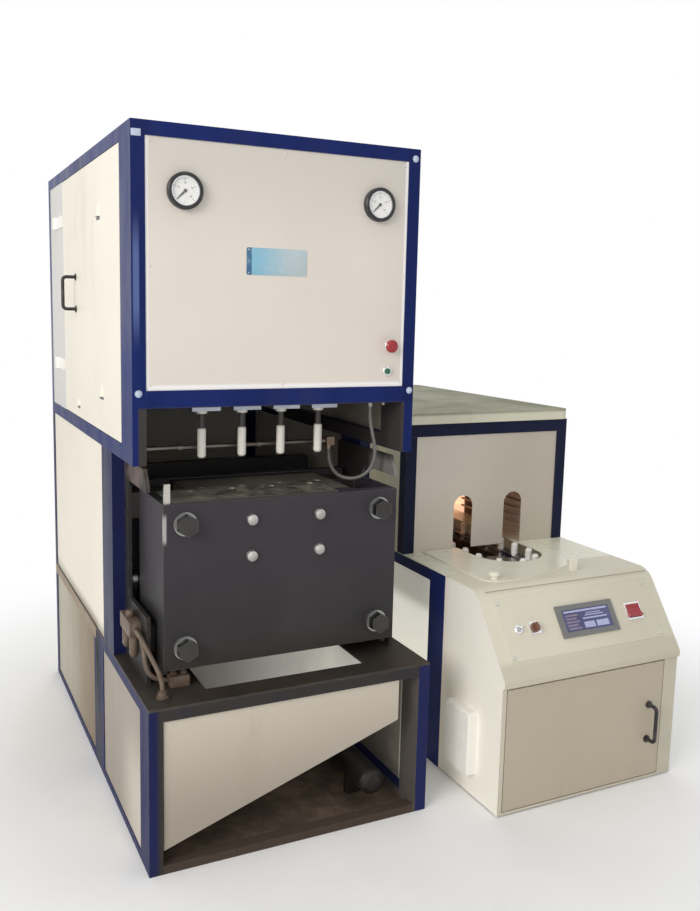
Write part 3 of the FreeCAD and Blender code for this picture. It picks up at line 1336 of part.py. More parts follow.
def preform_chain():
    """Outer links hold their two pins; inner links are plates that turn on those pins."""
    pins = chain_pins()
    links = []
    for number, a in enumerate(pins):
        b = pins[(number + 1) % len(pins)]
        outer_link = number % 2 == 0
        if outer_link:
            solids = [pin_shape(spot, s.pin_radius, outer_low, chain_top) for spot in (a, b)]
            solids += [link_plate(a, b, low) for low in (outer_low, outer_high)]
            links.append(solids[0].fuse(solids[1:]).removeSplitter())
        else:
            for low in (inner_low, inner_high):
                holes = [pin_shape(spot, s.pin_radius + s.slide_gap, low - 1,
                                   low + plate_thick + 1) for spot in (a, b)]
                links.append(link_plate(a, b, low).cut(holes))
    node("preform_chain", drawn("chain_links", Part.makeCompound(links)))


def preform_holders():
    """One mandrel stands on every chain pin."""
    rise = float(s.holder_top - chain_top)
    radius = float(s.holder_radius)
    shapes = []
    for x, y in chain_pins():
        base = FreeCAD.Vector(x, y, float(chain_top))
        tip = FreeCAD.Vector(x, y, float(s.holder_top) - 8)
        body = Part.makeCylinder(radius, rise - 8, base)
        shapes.append(body.fuse(Part.makeCone(radius, radius * 0.7, 8, tip)))
    node("preform_holders", drawn("mandrels", Part.makeCompound(shapes)))


def star_wheel(label, y):
    """A notched wheel whose notches seat the chain pins, on a hub with a bore."""
    rise = (s.wheel_low, s.wheel_low + s.wheel_thick)
    disc = rod(label + "_disc", "z", (zero, zero), rise, s.wheel_radius)
    hub = rod(label + "_hub", "z", (zero, zero), (s.wheel_low - 14, rise[1] + 8),
              s.hub_radius * 2)
    over = (rise[0] - 5, rise[1] + 5)
    notch = s.pin_radius + s.slide_gap
    tools = []
    for number in range(int(float(s.wheel_notches))):
        seat = rod(f"{label}_seat_{number}", "z", (chain_radius, zero), over, notch)
        mouth = block(f"{label}_mouth_{number}", (chain_radius, s.wheel_radius + 10),
                      (-notch, notch), over)
        gap = gather(f"{label}_notch_{number}", fuse(f"{label}_gap_{number}", seat, mouth))
        spin = 360 / s.wheel_notches * number
        gap.Placement = FreeCAD.Placement(FreeCAD.Vector(),
                                          FreeCAD.Rotation(FreeCAD.Vector(0, 0, 1), float(spin)))
        tools.append(gap)
    bore = rod(label + "_bore", "z", (zero, zero), (s.wheel_low - 20, rise[1] + 20),
               s.hub_radius + s.slide_gap)
    rim = cut(label + "_rim", disc, *tools)
    wheel = cut(label + "_wheel", fuse(label + "_blank", rim, hub), bore)
    return place(wheel, s.chain_x, y, 0)


def star_wheels():
    node("star_wheels", star_wheel("front_star", s.front_wheel_y),
         star_wheel("rear_star", rear_wheel_y))


def conveyor_bed():
    """Bed plate on two cross bars, rails under the chain, wheel pillars and the drive."""
    half = s.deck_hole
    bed_rise = (shelf_rise[1], shelf_rise[1] + s.bed_thick)
    bed = block("bed_plate", (s.chain_x - half, s.chain_x + half),
                (s.front_wheel_y - half, rear_wheel_y + half), bed_rise)
    pieces = [bed]
    for number, y in enumerate((s.oven_front + s.cross_front, rear_wheel_y - s.cross_back)):
        xs = (heater_sides[0][1] - 6, heater_sides[1][0] + 6)
        pieces.append(block(f"bed_bar_{number}", xs, (y, y + s.cross_deep), shelf_rise))
    lane, clear = s.lane_half, s.lane_clear
    for number, x in enumerate((s.chain_x - chain_radius, s.chain_x + chain_radius)):
        pieces.append(block(f"chain_rail_{number}", (x - lane, x + lane),
                            (s.front_wheel_y + clear, rear_wheel_y - clear),
                            (bed_rise[1], outer_low)))
    for number, y in enumerate((s.front_wheel_y, rear_wheel_y)):
        hub_low = s.wheel_low - 14 - bed_rise[1]
        hub_top = hub_low + s.hub_stub
        profile = [(zero, zero), (s.hub_radius * 2, zero),
                   (s.hub_radius * 2, hub_low - s.slide_gap),
                   (s.hub_radius, hub_low - s.slide_gap), (s.hub_radius, hub_top), (zero, hub_top)]
        pieces.append(turned(f"wheel_pillar_{number}", "z", (s.chain_x, y), bed_rise[1], profile))
    gear_low = bed_rise[0] - s.gear_tall
    pieces.append(block("gearbox", (s.chain_x - s.gear_half, s.chain_x + s.gear_half),
                        (rear_wheel_y - s.gear_half, rear_wheel_y + s.gear_half),
                        (gear_low, bed_rise[0])))
    case, flange, long = s.motor_radius, s.motor_radius + 10, s.motor_long
    motor = [(zero, zero), (case - 5, zero), (case, 8), (case, long - 10), (flange, long - 10),
             (flange, long), (zero, long)]
    pieces.append(turned("drive_motor", "z", (s.chain_x, rear_wheel_y), gear_low - long, motor))
    node("conveyor_bed", *pieces)


# ---------------------------------------------------------------- heater: console

slope_run = s.console_fold - s.console_front
slope_drop = s.heater_deck - s.slope_foot
slope_angle = Size(math.degrees(math.atan2(float(slope_drop), float(slope_run))),
                   f"atan({text_of(slope_drop)} / {text_of(slope_run)})")
plate_face = s.sheet_thick


def on_slope(name, *pieces):
    """Moves pieces drawn flat, X right and Y up the slope, on to the console's sloping face."""
    item = gather(name, *pieces)
    item.Placement = FreeCAD.Placement(
        FreeCAD.Vector(), FreeCAD.Rotation(FreeCAD.Vector(1, 0, 0), float(slope_angle)))
    bind(item, ".Placement.Rotation.Angle", slope_angle)
    return place(item, s.heater_left, s.console_fold, s.heater_deck)


def console_profile(inset, over=0):
    """The console's side outline, drawn in by inset, and past its open back and foot by over."""
    front = s.console_front + inset
    lip = s.console_front - s.lip_out + inset
    slope = slope_drop / slope_run
    shift = inset * 0.475
    fall = (s.console_fold + shift - lip) * slope
    lip_high = s.heater_deck - inset - fall
    back, foot = s.heater_front + over, s.console_foot - over
    return [(back, foot), (back, s.heater_deck - inset),
            (s.console_fold + shift, s.heater_deck - inset), (lip, lip_high),
            (lip, s.lip_low + 8 + inset * 0.6), (front, s.lip_low + inset * 0.6),
            (front, foot)]


def console_shell():
    """One folded sheet from the table round the desk slope and lip to the floor."""
    skin = s.sheet_thick
    outer = console_profile(zero)
    lip_round = Size(12, "12")
    solid = plate("console_outside", "YZ", outer, s.heater_left, s.heater_wide,
                  [(*outer[2], s.console_round), (*outer[3], lip_round)])
    inset = console_profile(skin, 10)
    hollow = plate("console_inside", "YZ", inset, s.heater_left - 5, s.heater_wide + 10,
                   [(*inset[2], s.console_round - skin), (*inset[3], lip_round - skin)])
    gap = s.hatch_gap
    front = s.console_front
    door_hole = block("hatch_hole", (s.hatch_left - gap, s.hatch_right + gap),
                      (front - 5, front + skin + 5), (s.hatch_low - gap, s.hatch_top + gap))
    margin = s.window_margin
    window = block("desk_window_block", (s.desk_margin + margin, s.heater_wide - s.desk_margin - margin),
                   (-s.desk_low + margin + 20, -s.desk_high - margin - 5), (-20, 20))
    node("console_shell",
         cut("console", solid, hollow, door_hole, on_slope("desk_window", window)))


def console_sides():
    """The two end sheets inside the fold, and the ears that the hatch's pins turn in."""
    skin = s.sheet_thick
    inset = console_profile(skin)
    rounds = [(*inset[2], s.console_round - skin)]
    starts = (("left", s.heater_left), ("right", heater_right - skin))
    pieces = [plate(f"console_end_{side}", "YZ", inset, start, skin, rounds)
              for side, start in starts]
    gap, front = s.hatch_gap, s.console_front
    bore = s.hinge_radius + s.slide_gap
    thick = 6
    ears = ((s.hatch_top + gap, s.hatch_top + gap + thick),
            (s.hatch_low - gap - thick, s.hatch_low - gap))
    for number, rise in enumerate(ears):
        ear = block(f"hatch_ear_block_{number}", (s.heater_left + skin, s.hatch_left + 22),
                    (front + 4, front + 26), rise)
        hole = rod(f"hatch_ear_hole_{number}", "z", hatch_pivot(), (rise[0] - 5, rise[1] + 5), bore)
        pieces.append(cut(f"hatch_ear_{number}", ear, hole))
    node("console_sides", *pieces)


def hatch_pivot():
    return (s.hatch_left + s.hinge_inset, s.console_front + s.hinge_inset)


def console_door():
    rise = (s.hatch_low, s.hatch_top)
    front = s.console_front
    tray = folded_tray("hatch_tray", (s.hatch_left, s.hatch_right),
                       (front, front + s.hatch_deep), rise, "+y")
    reach = s.hatch_gap + 5
    pins = [rod("hatch_pin_low", "z", hatch_pivot(), (rise[0] - reach, rise[0]), s.hinge_radius),
            rod("hatch_pin_high", "z", hatch_pivot(), (rise[1], rise[1] + reach),
                s.hinge_radius)]
    node("console_door", *tray, *pins)


def console_door_handle():
    feet = [(s.pull_x, s.console_front, z) for z in (s.pull_low, s.pull_high)]
    node("console_door_handle",
         bow("hatch_bow", s.pull_radius, feet, s.pull_out, (0, -1, 0), s.pull_radius * 2))


def across(centre, size):
    return (centre - size / 2, centre + size / 2)


key_spot = (s.key_x, -s.key_down)
knob_spot = (s.knob_x, -s.knob_down)
rocker_spot = (s.rocker_x, -s.rocker_down)
screen_x = (s.screen_left, s.screen_left + s.screen_wide)
screen_y = (-s.screen_low, -s.screen_high)


def shrunk(span, by):
    return (span[0] + by, span[1] - by)


def rocker_block(name, grow, rise):
    return block(name, across(s.rocker_x, s.rocker_hole + grow * 2),
                 across(-s.rocker_down, s.rocker_hole_tall + grow * 2), rise)


def control_plate():
    """The screwed plate on the slope, cut out for the screen and the three switches."""
    body = block("desk_sheet", (s.desk_margin, s.heater_wide - s.desk_margin),
                 (-s.desk_low, -s.desk_high), (0, plate_face))
    over = (-5, plate_face + 5)
    rim = s.screen_rim
    screen = block("desk_screen_hole", shrunk(screen_x, rim), shrunk(screen_y, rim), over)
    rocker = rocker_block("desk_rocker_hole", 0, over)
    key = rod("desk_key_hole", "z", key_spot, over, s.switch_hole)
    knob = rod("desk_knob_hole", "z", knob_spot, over, s.switch_hole)
    node("control_plate",
         on_slope("control_plate_set", cut("desk_plate", body, screen, rocker, key, knob)))


def touch_panel():
    out = s.screen_out
    face = plate_face + out
    case = block("screen_case_block", screen_x, screen_y, (plate_face, face))
    rim, glass = s.screen_rim + 1, s.screen_glass
    body = block("screen_body", shrunk(screen_x, rim), shrunk(screen_y, rim),
                 (-s.screen_deep, plate_face))
    recess = block("screen_recess", shrunk(screen_x, glass), shrunk(screen_y, glass - 3),
                   (face - 2, face + 3))
    node("touch_panel", on_slope("touch_panel_set", cut("screen_case", case, recess), body))


def console_bezels():
    flat = plate_face
    over = (flat - 5, flat + 10)
    hole, deep = s.switch_hole, -(s.switch_deep + 2)
    bore = s.key_radius + s.slide_gap
    rim = cut("rocker_rim", rocker_block("rocker_rim_outer", s.rocker_rim, (flat, flat + 4)),
              rocker_block("rocker_rim_inner", 0, over))
    key_rim = [(bore, deep), (hole, deep), (hole, zero), (s.key_rim, zero), (s.key_rim, 3),
               (s.key_rim - 2, 5), (bore, 5)]
    key = turned("key_rim", "z", key_spot, flat, key_rim)
    square = block("knob_rim_outer", across(s.knob_x, s.knob_plate),
                   across(-s.knob_down, s.knob_plate), (flat, flat + 6))
    knob_rim = cut("knob_rim", square, rod("knob_rim_inner", "z", knob_spot, over, bore))
    sleeve = turned("knob_sleeve", "z", knob_spot, flat,
                    [(bore, deep), (hole, deep), (hole, zero), (bore, zero)])
    return [on_slope("desk_bezels", rim, key, knob_rim, sleeve)]


def key_switch():
    """The lock barrel with its key in it."""
    x, y = key_spot
    face = plate_face + 6
    leaf = across(y, 2.4)
    barrel = rod("key_barrel", "z", key_spot, (plate_face - s.switch_deep, face), s.key_radius)
    bow_ring = rod("key_bow", "y", (x, face + 18), leaf, 11)
    eye = rod("key_eye", "y", (x, face + 22), across(y, 14), 3.5)
    blade = block("key_blade", across(x, 8), leaf, (face, face + 12))
    key = cut("key", fuse("key_blank", bow_ring, blade), eye)
    node("key_switch", on_slope("key_switch_set", barrel, key))


def selector_switch():
    low = plate_face + 6 + s.slide_gap
    top = plate_face + 12
    disc = rod("selector_disc", "z", knob_spot, (low, top), s.knob_radius)
    stem = rod("selector_stem", "z", knob_spot, (plate_face - s.switch_deep, low), s.key_radius)
    wing = block("selector_wing", across(knob_spot[0], 9), across(knob_spot[1], 28),
                 (top, top + 12))
    node("selector_switch", on_slope("selector_switch_set", fuse("selector", disc, stem, wing)))


def rocker_switch():
    """The rocker lies with its upper half pressed in, on a round boss through its middle."""
    half, dish, floor = s.rocker_tall / 2, 10, -6
    outline = [(-half, floor), (half, floor), (half, dish), (zero, dish - 4), (-half, dish)]
    long = across(zero, s.rocker_wide)
    body = plate("rocker_body", "YZ", outline, long[0], s.rocker_wide)
    boss = rod("rocker_boss", "x", (zero, zero), long, 8)
    item = gather("rocker_tilt", fuse("rocker", body, boss))
    item.Placement = FreeCAD.Placement(
        FreeCAD.Vector(), FreeCAD.Rotation(FreeCAD.Vector(1, 0, 0), -float(s.rocker_rest)))
    bind(item, ".Placement.Rotation.Angle", -s.rocker_rest)
    place(item, *rocker_spot, plate_face)
    node("rocker_switch", on_slope("rocker_switch_set", item))


def box_corners(inset):
    front, back = s.box_front + inset, s.box_back - inset
    low, high = s.box_low + inset, s.box_high - inset
    return [(front, low), (back, low), (back, high), (front, high)]


def socket_box():
    """The power socket's box on the console's left side, with its lid."""
    out, inset = s.heater_left - s.box_out, s.lid_inset
    case = plate("socket_case", "YZ", box_corners(zero), out + inset, s.box_out - inset,
                 [(*corner, s.box_round) for corner in box_corners(zero)])
    lid = plate("socket_lid", "YZ", box_corners(inset), out, inset,
                [(*corner, s.box_round - 4) for corner in box_corners(inset)])
    node("socket_box", case, lid)


def control_gear():
    """The mounting plate behind the hatch with its drive, supply, breakers and terminals."""
    face = s.heater_front - 6
    left = s.heater_left + s.gear_left
    rows = [((s.heater_left + s.gear_edge, heater_right - s.gear_edge), (face, s.heater_front),
             (s.gear_low, s.gear_top))]

    def module(start, wide_by, low, tall, deep):
        rows.append(((start, start + wide_by), (face - deep, face), (low, low + tall)))

    for number in range(5):
        module(left + s.breaker_pitch * number, s.breaker_wide, s.breaker_low, s.breaker_tall,
               s.breaker_deep)
    module(left, s.drive_wide, s.drive_low, s.drive_tall, s.drive_deep)
    module(s.heater_left + s.supply_left, s.drive_wide, s.drive_low + 20, s.supply_tall,
           s.supply_deep)
    strip = s.heater_left + s.terminal_left
    strip_wide = heater_right - s.gear_left - strip
    module(strip, strip_wide, s.terminal_low, s.terminal_tall, 40)
    module(strip, strip_wide, s.breaker_low, s.breaker_tall + 10, 60)
    node("control_gear", *bars("control_gear", rows))


# ---------------------------------------------------------------- build, check and write

def build():
    base_frame()
    base_plates()
    bottle_chute()
    air_receiver()
    tower_panels()
    waist_frame()
    head_frame()
    head_front_panel()
    door_catches()
    head_door()
    head_door_handle()
    gauge_cases()
    needle("needle_left", gauge_spots()[0])
    needle("needle_right", gauge_spots()[1])
    push_button("stop_button", button_spots()[0], s.mushroom_radius, 14)
    push_button("start_button", button_spots()[1], None, 0)
    switch_bezels()
    front_platen()
    rear_platen()
    mould("mould_front", front_mould)
    mould("mould_rear", rear_mould)
    tie_bars()
    platen_fasteners()
    clamp_cylinder()
    clamp_piston()
    clamp_side_plates()
    lever_x = (s.lever_x, s.lever_x + s.lever_thick)
    equaliser("equaliser_left", lever_x)
    equaliser("equaliser_right", opposite(lever_x))
    blow_head()
    nozzles()
    stretch_rods()
    head_carrier()
    air_cylinders()
    air_manifold()
    service_unit()
    air_hose()
    heater_frame()
    heater_panels()
    heater_deck()
    loading_plate()
    oven_front_panel()
    oven_frame()
    oven_cover()
    lamp_racks()
    oven_lamps()
    preform_chain()
    preform_holders()
    star_wheels()
    conveyor_bed()
    console_shell()
    console_sides()
    console_door()
    console_door_handle()
    control_plate()
    touch_panel()
    key_switch()
    selector_switch()
    rocker_switch()
    socket_box()
    control_gear()


def check():
    for item in doc.Objects:
        failed = {"Invalid", "Error"} & set(item.State)
        if failed:
            raise RuntimeError(f"{item.Name} is {failed}: {item.getStatusString()}")
    for item in NODES:
        if item.Shape.isNull() or not item.Shape.isValid():
            raise RuntimeError(f"{item.Label} has no valid shape")


def write():
    os.makedirs("parts", exist_ok=True)
    for item in NODES:
        item.Shape.exportStep(f"parts/{item.Label}.step")


build()
doc.recompute()
check()
write()
print(len(NODES), "sub-parts written")
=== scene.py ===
import json
import math

import bmesh
import bpy
from mathutils import Matrix, Vector


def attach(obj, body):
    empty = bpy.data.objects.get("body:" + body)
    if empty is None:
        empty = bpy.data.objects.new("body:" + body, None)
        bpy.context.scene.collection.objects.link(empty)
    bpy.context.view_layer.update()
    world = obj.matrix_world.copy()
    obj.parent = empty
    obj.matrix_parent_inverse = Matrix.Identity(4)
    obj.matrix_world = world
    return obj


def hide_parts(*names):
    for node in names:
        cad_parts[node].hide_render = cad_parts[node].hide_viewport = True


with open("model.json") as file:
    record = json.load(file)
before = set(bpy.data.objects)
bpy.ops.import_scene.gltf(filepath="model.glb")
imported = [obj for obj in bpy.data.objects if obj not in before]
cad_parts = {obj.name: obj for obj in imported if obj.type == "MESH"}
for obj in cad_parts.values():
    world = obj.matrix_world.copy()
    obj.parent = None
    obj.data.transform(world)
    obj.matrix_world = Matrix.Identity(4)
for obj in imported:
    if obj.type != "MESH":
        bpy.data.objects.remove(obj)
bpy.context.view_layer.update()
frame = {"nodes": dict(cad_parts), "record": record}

NODES = frame["nodes"]
SLOT_OF = {row["node"]: row["material_slot"] for row in frame["record"]["subparts"]}

# The machine is drawn from the tower's front left corner on the floor, in millimetres.
CORNER_X, CORNER_Y = 893.0, 580.0
TABLE_TOP, PLATEN_FRONT, HEAD_PANEL_FACE = 497.0, -45.0, 3.0


def at(x, y, z):
    """A point given in millimetres from the tower's front left corner, in the row frame."""
    return Vector(((x - CORNER_X) / 1000, (y - CORNER_Y) / 1000, z / 1000))


def add(name, data):
    """Puts an object that shows this data in the scene."""
    made = bpy.data.objects.new(name, data)
    bpy.context.scene.collection.objects.link(made)
    return made


# ---------------------------------------------------------------- camera

CAMERA_PLACE = at(-584.5, -2485.3, 1599.4)
CAMERA_YAW, CAMERA_PITCH, CAMERA_ROLL = 0.44364, -0.13509, 0.02057
FOCAL_PIXELS = 900.17
CENTRE_PIXEL = (324.9, 433.0)
PHOTO_WIDE, PHOTO_TALL = 700, 911
SENSOR = 36.0


def make_camera():
    yaw, pitch, roll = CAMERA_YAW, CAMERA_PITCH, CAMERA_ROLL
    ahead = Vector((math.sin(yaw) * math.cos(pitch), math.cos(yaw) * math.cos(pitch),
                    math.sin(pitch)))
    level = Vector((math.cos(yaw), -math.sin(yaw), 0))
    over = level.cross(ahead)
    right = level * math.cos(roll) + over * math.sin(roll)
    up = over * math.cos(roll) - level * math.sin(roll)
    data = bpy.data.cameras.new("camera")
    data.sensor_width = SENSOR
    data.lens = FOCAL_PIXELS * SENSOR / PHOTO_TALL
    data.shift_x = (PHOTO_WIDE / 2 - CENTRE_PIXEL[0]) / PHOTO_TALL
    data.shift_y = (CENTRE_PIXEL[1] - PHOTO_TALL / 2) / PHOTO_TALL
    camera = add("camera", data)
    turn = Matrix((right, up, -ahead)).transposed().to_4x4()
    camera.matrix_world = Matrix.Translation(CAMERA_PLACE) @ turn
    bpy.context.scene.camera = camera


make_camera()


# ---------------------------------------------------------------- the air hose

HOSE_ROUTE = [(790, 70, 1296), (790, 70, 1256), (800, 70, 1212), (812, 71, 1166),
              (814, 74, 1119), (798, 83, 1078), (764, 99, 1055), (732, 127, 1053),
              (717, 162, 1063), (714, 194, 1083), (714, 215, 1111), (714, 215, 1141)]
HOSE_DIAMETER = 0.012
BEND_STEPS = 12
TUBE_ROUNDNESS = 6
SHARP_FROM = math.radians(35)


def rounded_route(route):
    """A smooth line that bends at each middle point of the route and ends on its ends."""
    points = [at(*place) for place in route]
    line = [points[0]]
    for number in range(1, len(points) - 1):
        before, bend, after = points[number - 1:number + 2]
        start = before if number == 1 else (before + bend) / 2
        end = after if number == len(points) - 2 else (bend + after) / 2
        for step in range(1, BEND_STEPS + 1):
            t = step / BEND_STEPS
            line.append(start * (1 - t) ** 2 + bend * (2 * t * (1 - t)) + end * t ** 2)
    return line


def mesh_of(curve):
    """Turns a curve into a mesh and deletes the curve."""
    holder = bpy.data.objects.new(curve.name, curve)
    mesh = bpy.data.meshes.new_from_object(holder)
    bpy.data.objects.remove(holder)
    bpy.data.curves.remove(curve)
    return mesh


def smooth(mesh):
    """Shades a mesh round, apart from the edges where its faces meet steeply."""
    for face in mesh.polygons:
        face.use_smooth = True
    mesh.set_sharp_from_angle(angle=SHARP_FROM)


def tube(name, route, radius):
    """A round tube along a line of points, turned into a mesh."""
    curve = bpy.data.curves.new(name, "CURVE")
    curve.dimensions = "3D"
    line = curve.splines.new("POLY")
    line.points.add(len(route) - 1)
    for point, place in zip(line.points, route):
        point.co = (*place, 1)
    curve.bevel_depth = radius
    curve.bevel_resolution = TUBE_ROUNDNESS
    curve.use_fill_caps = True
    mesh = mesh_of(curve)
    smooth(mesh)
    return add(name, mesh)


def make_hose():
    route = rounded_route(HOSE_ROUTE)
    piece = tube("air_hose_line", route, HOSE_DIAMETER / 2)
    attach(piece, "machine")
    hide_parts("air_hose")
    return piece


hose = make_hose()


# ---------------------------------------------------------------- materials

class Shader:
    """A material whose nodes are added one after another."""

    def __init__(self, name):
        self.material = bpy.data.materials.new(name)
        self.material.use_nodes = True
        self.tree = self.material.node_tree
        self.tree.nodes.clear()
        self.output = self.node("ShaderNodeOutputMaterial")
        self.skin = self.node("ShaderNodeBsdfPrincipled")
        self.link(self.skin.outputs["BSDF"], self.output.inputs["Surface"])
        self.place = self.node("ShaderNodeTexCoord").outputs["Object"]
        parts = self.node("ShaderNodeSeparateXYZ")
        self.link(self.place, parts.inputs[0])
        self.axes = {"x": parts.outputs[0], "y": parts.outputs[1], "z": parts.outputs[2]}

    def node(self, kind, **settings):
        made = self.tree.nodes.new(kind)
        for name, value in settings.items():
            setattr(made, name, value)
        return made

    def link(self, source, target):
        self.tree.links.new(source, target)

    def feed(self, socket, value):
        if hasattr(value, "is_output"):
            self.link(value, socket)
        else:
            socket.default_value = value

    def maths(self, operation, *values, clamp=False):
        made = self.node("ShaderNodeMath", operation=operation, use_clamp=clamp)
        for socket, value in zip(made.inputs, values):
            self.feed(socket, value)
        return made.outputs[0]

    def noise(self, scale, detail=4.0, stretch=(1, 1, 1), rough=0.55):
        mapping = self.node("ShaderNodeMapping")
        mapping.inputs["Scale"].default_value = stretch
        self.link(self.place, mapping.inputs["Vector"])
        made = self.node("ShaderNodeTexNoise")
        self.link(mapping.outputs[0], made.inputs["Vector"])
        made.inputs["Scale"].default_value = scale
        made.inputs["Detail"].default_value = detail
        made.inputs["Roughness"].default_value = rough
        return made.outputs["Fac"]

    def ramp(self, value, low, high, start=0.0, end=1.0):
        made = self.node("ShaderNodeMapRange", clamp=True)
        made.interpolation_type = "SMOOTHSTEP"
        self.feed(made.inputs["Value"], value)
        for name, number in (("From Min", low), ("From Max", high), ("To Min", start),
                             ("To Max", end)):
            made.inputs[name].default_value = number
        return made.outputs[0]

    def along(self, letter, low, high, start=0.0, end=1.0):
        """A value that runs from start to end between two places along one axis."""
        corner = {"x": CORNER_X, "y": CORNER_Y, "z": 0.0}[letter]
        return self.ramp(self.axes[letter], (low - corner) / 1000, (high - corner) / 1000,
                         start, end)

    def past(self, letter, place, soft=2.0):
        """0 below a place along one axis and 1 beyond it."""
        return self.along(letter, place - soft / 2, place + soft / 2)

    def before(self, letter, place, soft=2.0):
        """1 below a place along one axis and 0 beyond it."""
        return self.maths("SUBTRACT", 1.0, self.past(letter, place, soft))

    def within(self, letter, low, high, soft=2.0):
        """1 between two places along one axis."""
        return self.maths("SUBTRACT", self.past(letter, low, soft),
                          self.past(letter, high, soft), clamp=True)

    def outside(self, letter, low, high, soft=2.0):
        """0 between two places along one axis and 1 elsewhere."""
        return self.maths("SUBTRACT", 1.0, self.within(letter, low, high, soft))

    def both(self, *values):
        """The product of masks: 1 only where all of them are."""
        total = values[0]
        for value in values[1:]:
            total = self.maths("MULTIPLY", total, value, clamp=True)
        return total

    def part(self, mask, share):
        """A mask that reaches no higher than a share."""
        return self.maths("MULTIPLY", mask, share)

    def patches(self, scale, detail, low, high, start=0.0, end=1.0, stretch=(1, 1, 1),
                rough=0.55):
        """Noise cut between two levels, so that it leaves soft-edged patches."""
        return self.ramp(self.noise(scale, detail, stretch, rough), low, high, start, end)

    def blend(self, share, first, second):
        made = self.node("ShaderNodeMix", data_type="RGBA")
        self.feed(made.inputs[0], share)
        for socket, colour in ((made.inputs[6], first), (made.inputs[7], second)):
            self.feed(socket, colour if hasattr(colour, "is_output") else (*colour[:3], 1.0))
        return made.outputs[2]

    def edge(self, radius):
        """1 on edges and 0 on flat faces, from the rounded normal against the true one."""
        bevel = self.node("ShaderNodeBevel", samples=4)
        bevel.inputs["Radius"].default_value = radius
        geometry = self.node("ShaderNodeNewGeometry")
        dot = self.node("ShaderNodeVectorMath", operation="DOT_PRODUCT")
        self.link(bevel.outputs[0], dot.inputs[0])
        self.link(geometry.outputs["Normal"], dot.inputs[1])
        return self.ramp(dot.outputs["Value"], 0.995, 0.86)

    def colour(self, value):
        self.feed(self.skin.inputs["Base Color"],
                  value if hasattr(value, "is_output") else (*value[:3], 1.0))

    def set(self, **numbers):
        for name, value in numbers.items():
            self.feed(self.skin.inputs[name.replace("_", " ")], value)

    def bump(self, height, strength, distance=0.001):
        made = self.node("ShaderNodeBump")
        made.inputs["Strength"].default_value = strength
        made.inputs["Distance"].default_value = distance
        self.link(height, made.inputs["Height"])
        self.link(made.outputs[0], self.skin.inputs["Normal"])


def darker(colour, share):
    return tuple(channel * share for channel in colour[:3])


NAVY = (0.011, 0.023, 0.135)
CREAM = (0.85, 0.80, 0.70)
GREIGE = (0.775, 0.715, 0.645)
SHEET_DIRT = (0.30, 0.25, 0.19)
CHIPPED_EDGE = (0.16, 0.16, 0.18)
WORN_PLATE = (0.15, 0.14, 0.13)
GREY_DUST = (0.30, 0.27, 0.23)
RUST = (0.16, 0.075, 0.035)
# Painted light: the colour of the emission glows that stand in for daylight in hollows.
PAINTED_DAYLIGHT_GLOW = (0.93, 0.92, 0.86, 1)


def sheet_paint(name, colour, rough=0.42, dirt_share=0.22, mottle=0.05, floor_dirt=0.35,
                specular=0.35, tint=None, glow=None):
    """Powder coat: a faint mottle, orange peel, soiling near the floor and along edges.

    tint takes the shader and the clean tone and returns the tone with local changes.
    glow takes the shader and gives the strength of a painted glow, an emission that stands in for
    light reaching a deep hollow.
    """
    s = Shader(name)
    cloud = s.noise(1.7, 4.0)
    tone = s.blend(s.ramp(cloud, 0.3, 0.7), darker(colour, 1 - mottle), colour)
    if tint:
        tone = tint(s, tone)
    smear = s.noise(4.0, 6.0, (1, 1, 0.35), 0.7)
    near_floor = s.part(s.before("z", 60, 300), floor_dirt)
    patches = s.ramp(smear, 0.55, 0.82, 0.0, dirt_share)
    soil = s.both(s.maths("ADD", patches, near_floor, clamp=True), s.ramp(smear, 0.38, 0.72))
    tone = s.blend(soil, tone, SHEET_DIRT)
    s.colour(s.blend(s.part(s.edge(0.003), 0.20), tone, darker(colour, 0.6)))
    s.set(Roughness=s.ramp(smear, 0.3, 0.8, rough - 0.06, rough + 0.16),
          Specular_IOR_Level=specular)
    s.bump(s.noise(230.0, 2.0), 0.09, 0.0004)
    if glow:
        # Painted light: an emission glow, not a lamp.
        s.set(Emission_Color=PAINTED_DAYLIGHT_GLOW, Emission_Strength=glow(s))
    return s.material


def frame_paint(name, colour, rough=0.34, grime=(0.030, 0.024, 0.021), grime_share=0.35,
                darkened_where=None, tint=None):
    """Brushed-on gloss enamel over bar: runs, scuffs, chipped edges and grime.

    The mask function takes the shader and returns a mask that takes the grime tone all over: grime
    on the base, painted shade in the head's bay.
    """
    s = Shader(name)
    brush = s.noise(9.0, 6.0, (1, 1, 0.22), 0.62)
    broad = s.noise(1.3, 3.0, (1, 1, 0.5))
    tone = s.blend(s.ramp(brush, 0.3, 0.72), darker(colour, 0.74), colour)
    tone = s.blend(s.ramp(broad, 0.45, 0.75, 0.0, 0.3), tone, darker(colour, 1.3))
    grime_and_shade_mask = s.patches(3.1, 6.0, 0.52, 0.76, 0.0, grime_share, stretch=(1, 1, 0.6), rough=0.7)
    if darkened_where:
        grime_and_shade_mask = s.maths("MAXIMUM", grime_and_shade_mask, darkened_where(s))
    tone = s.blend(grime_and_shade_mask, tone, grime)
    if tint:
        tone = tint(s, tone)
    worn = s.both(s.edge(0.003), s.patches(48.0, 5.0, 0.47, 0.62, 0.0, 0.55))
    s.colour(s.blend(worn, tone, CHIPPED_EDGE))
    s.set(Roughness=s.ramp(s.maths("ADD", brush, s.part(grime_and_shade_mask, 0.5)), 0.25, 1.0,
                           rough - 0.08, rough + 0.25),
          Specular_IOR_Level=0.09, Coat_Weight=0.02, Coat_Roughness=0.14)
    s.bump(brush, 0.14, 0.0012)
    return s.material


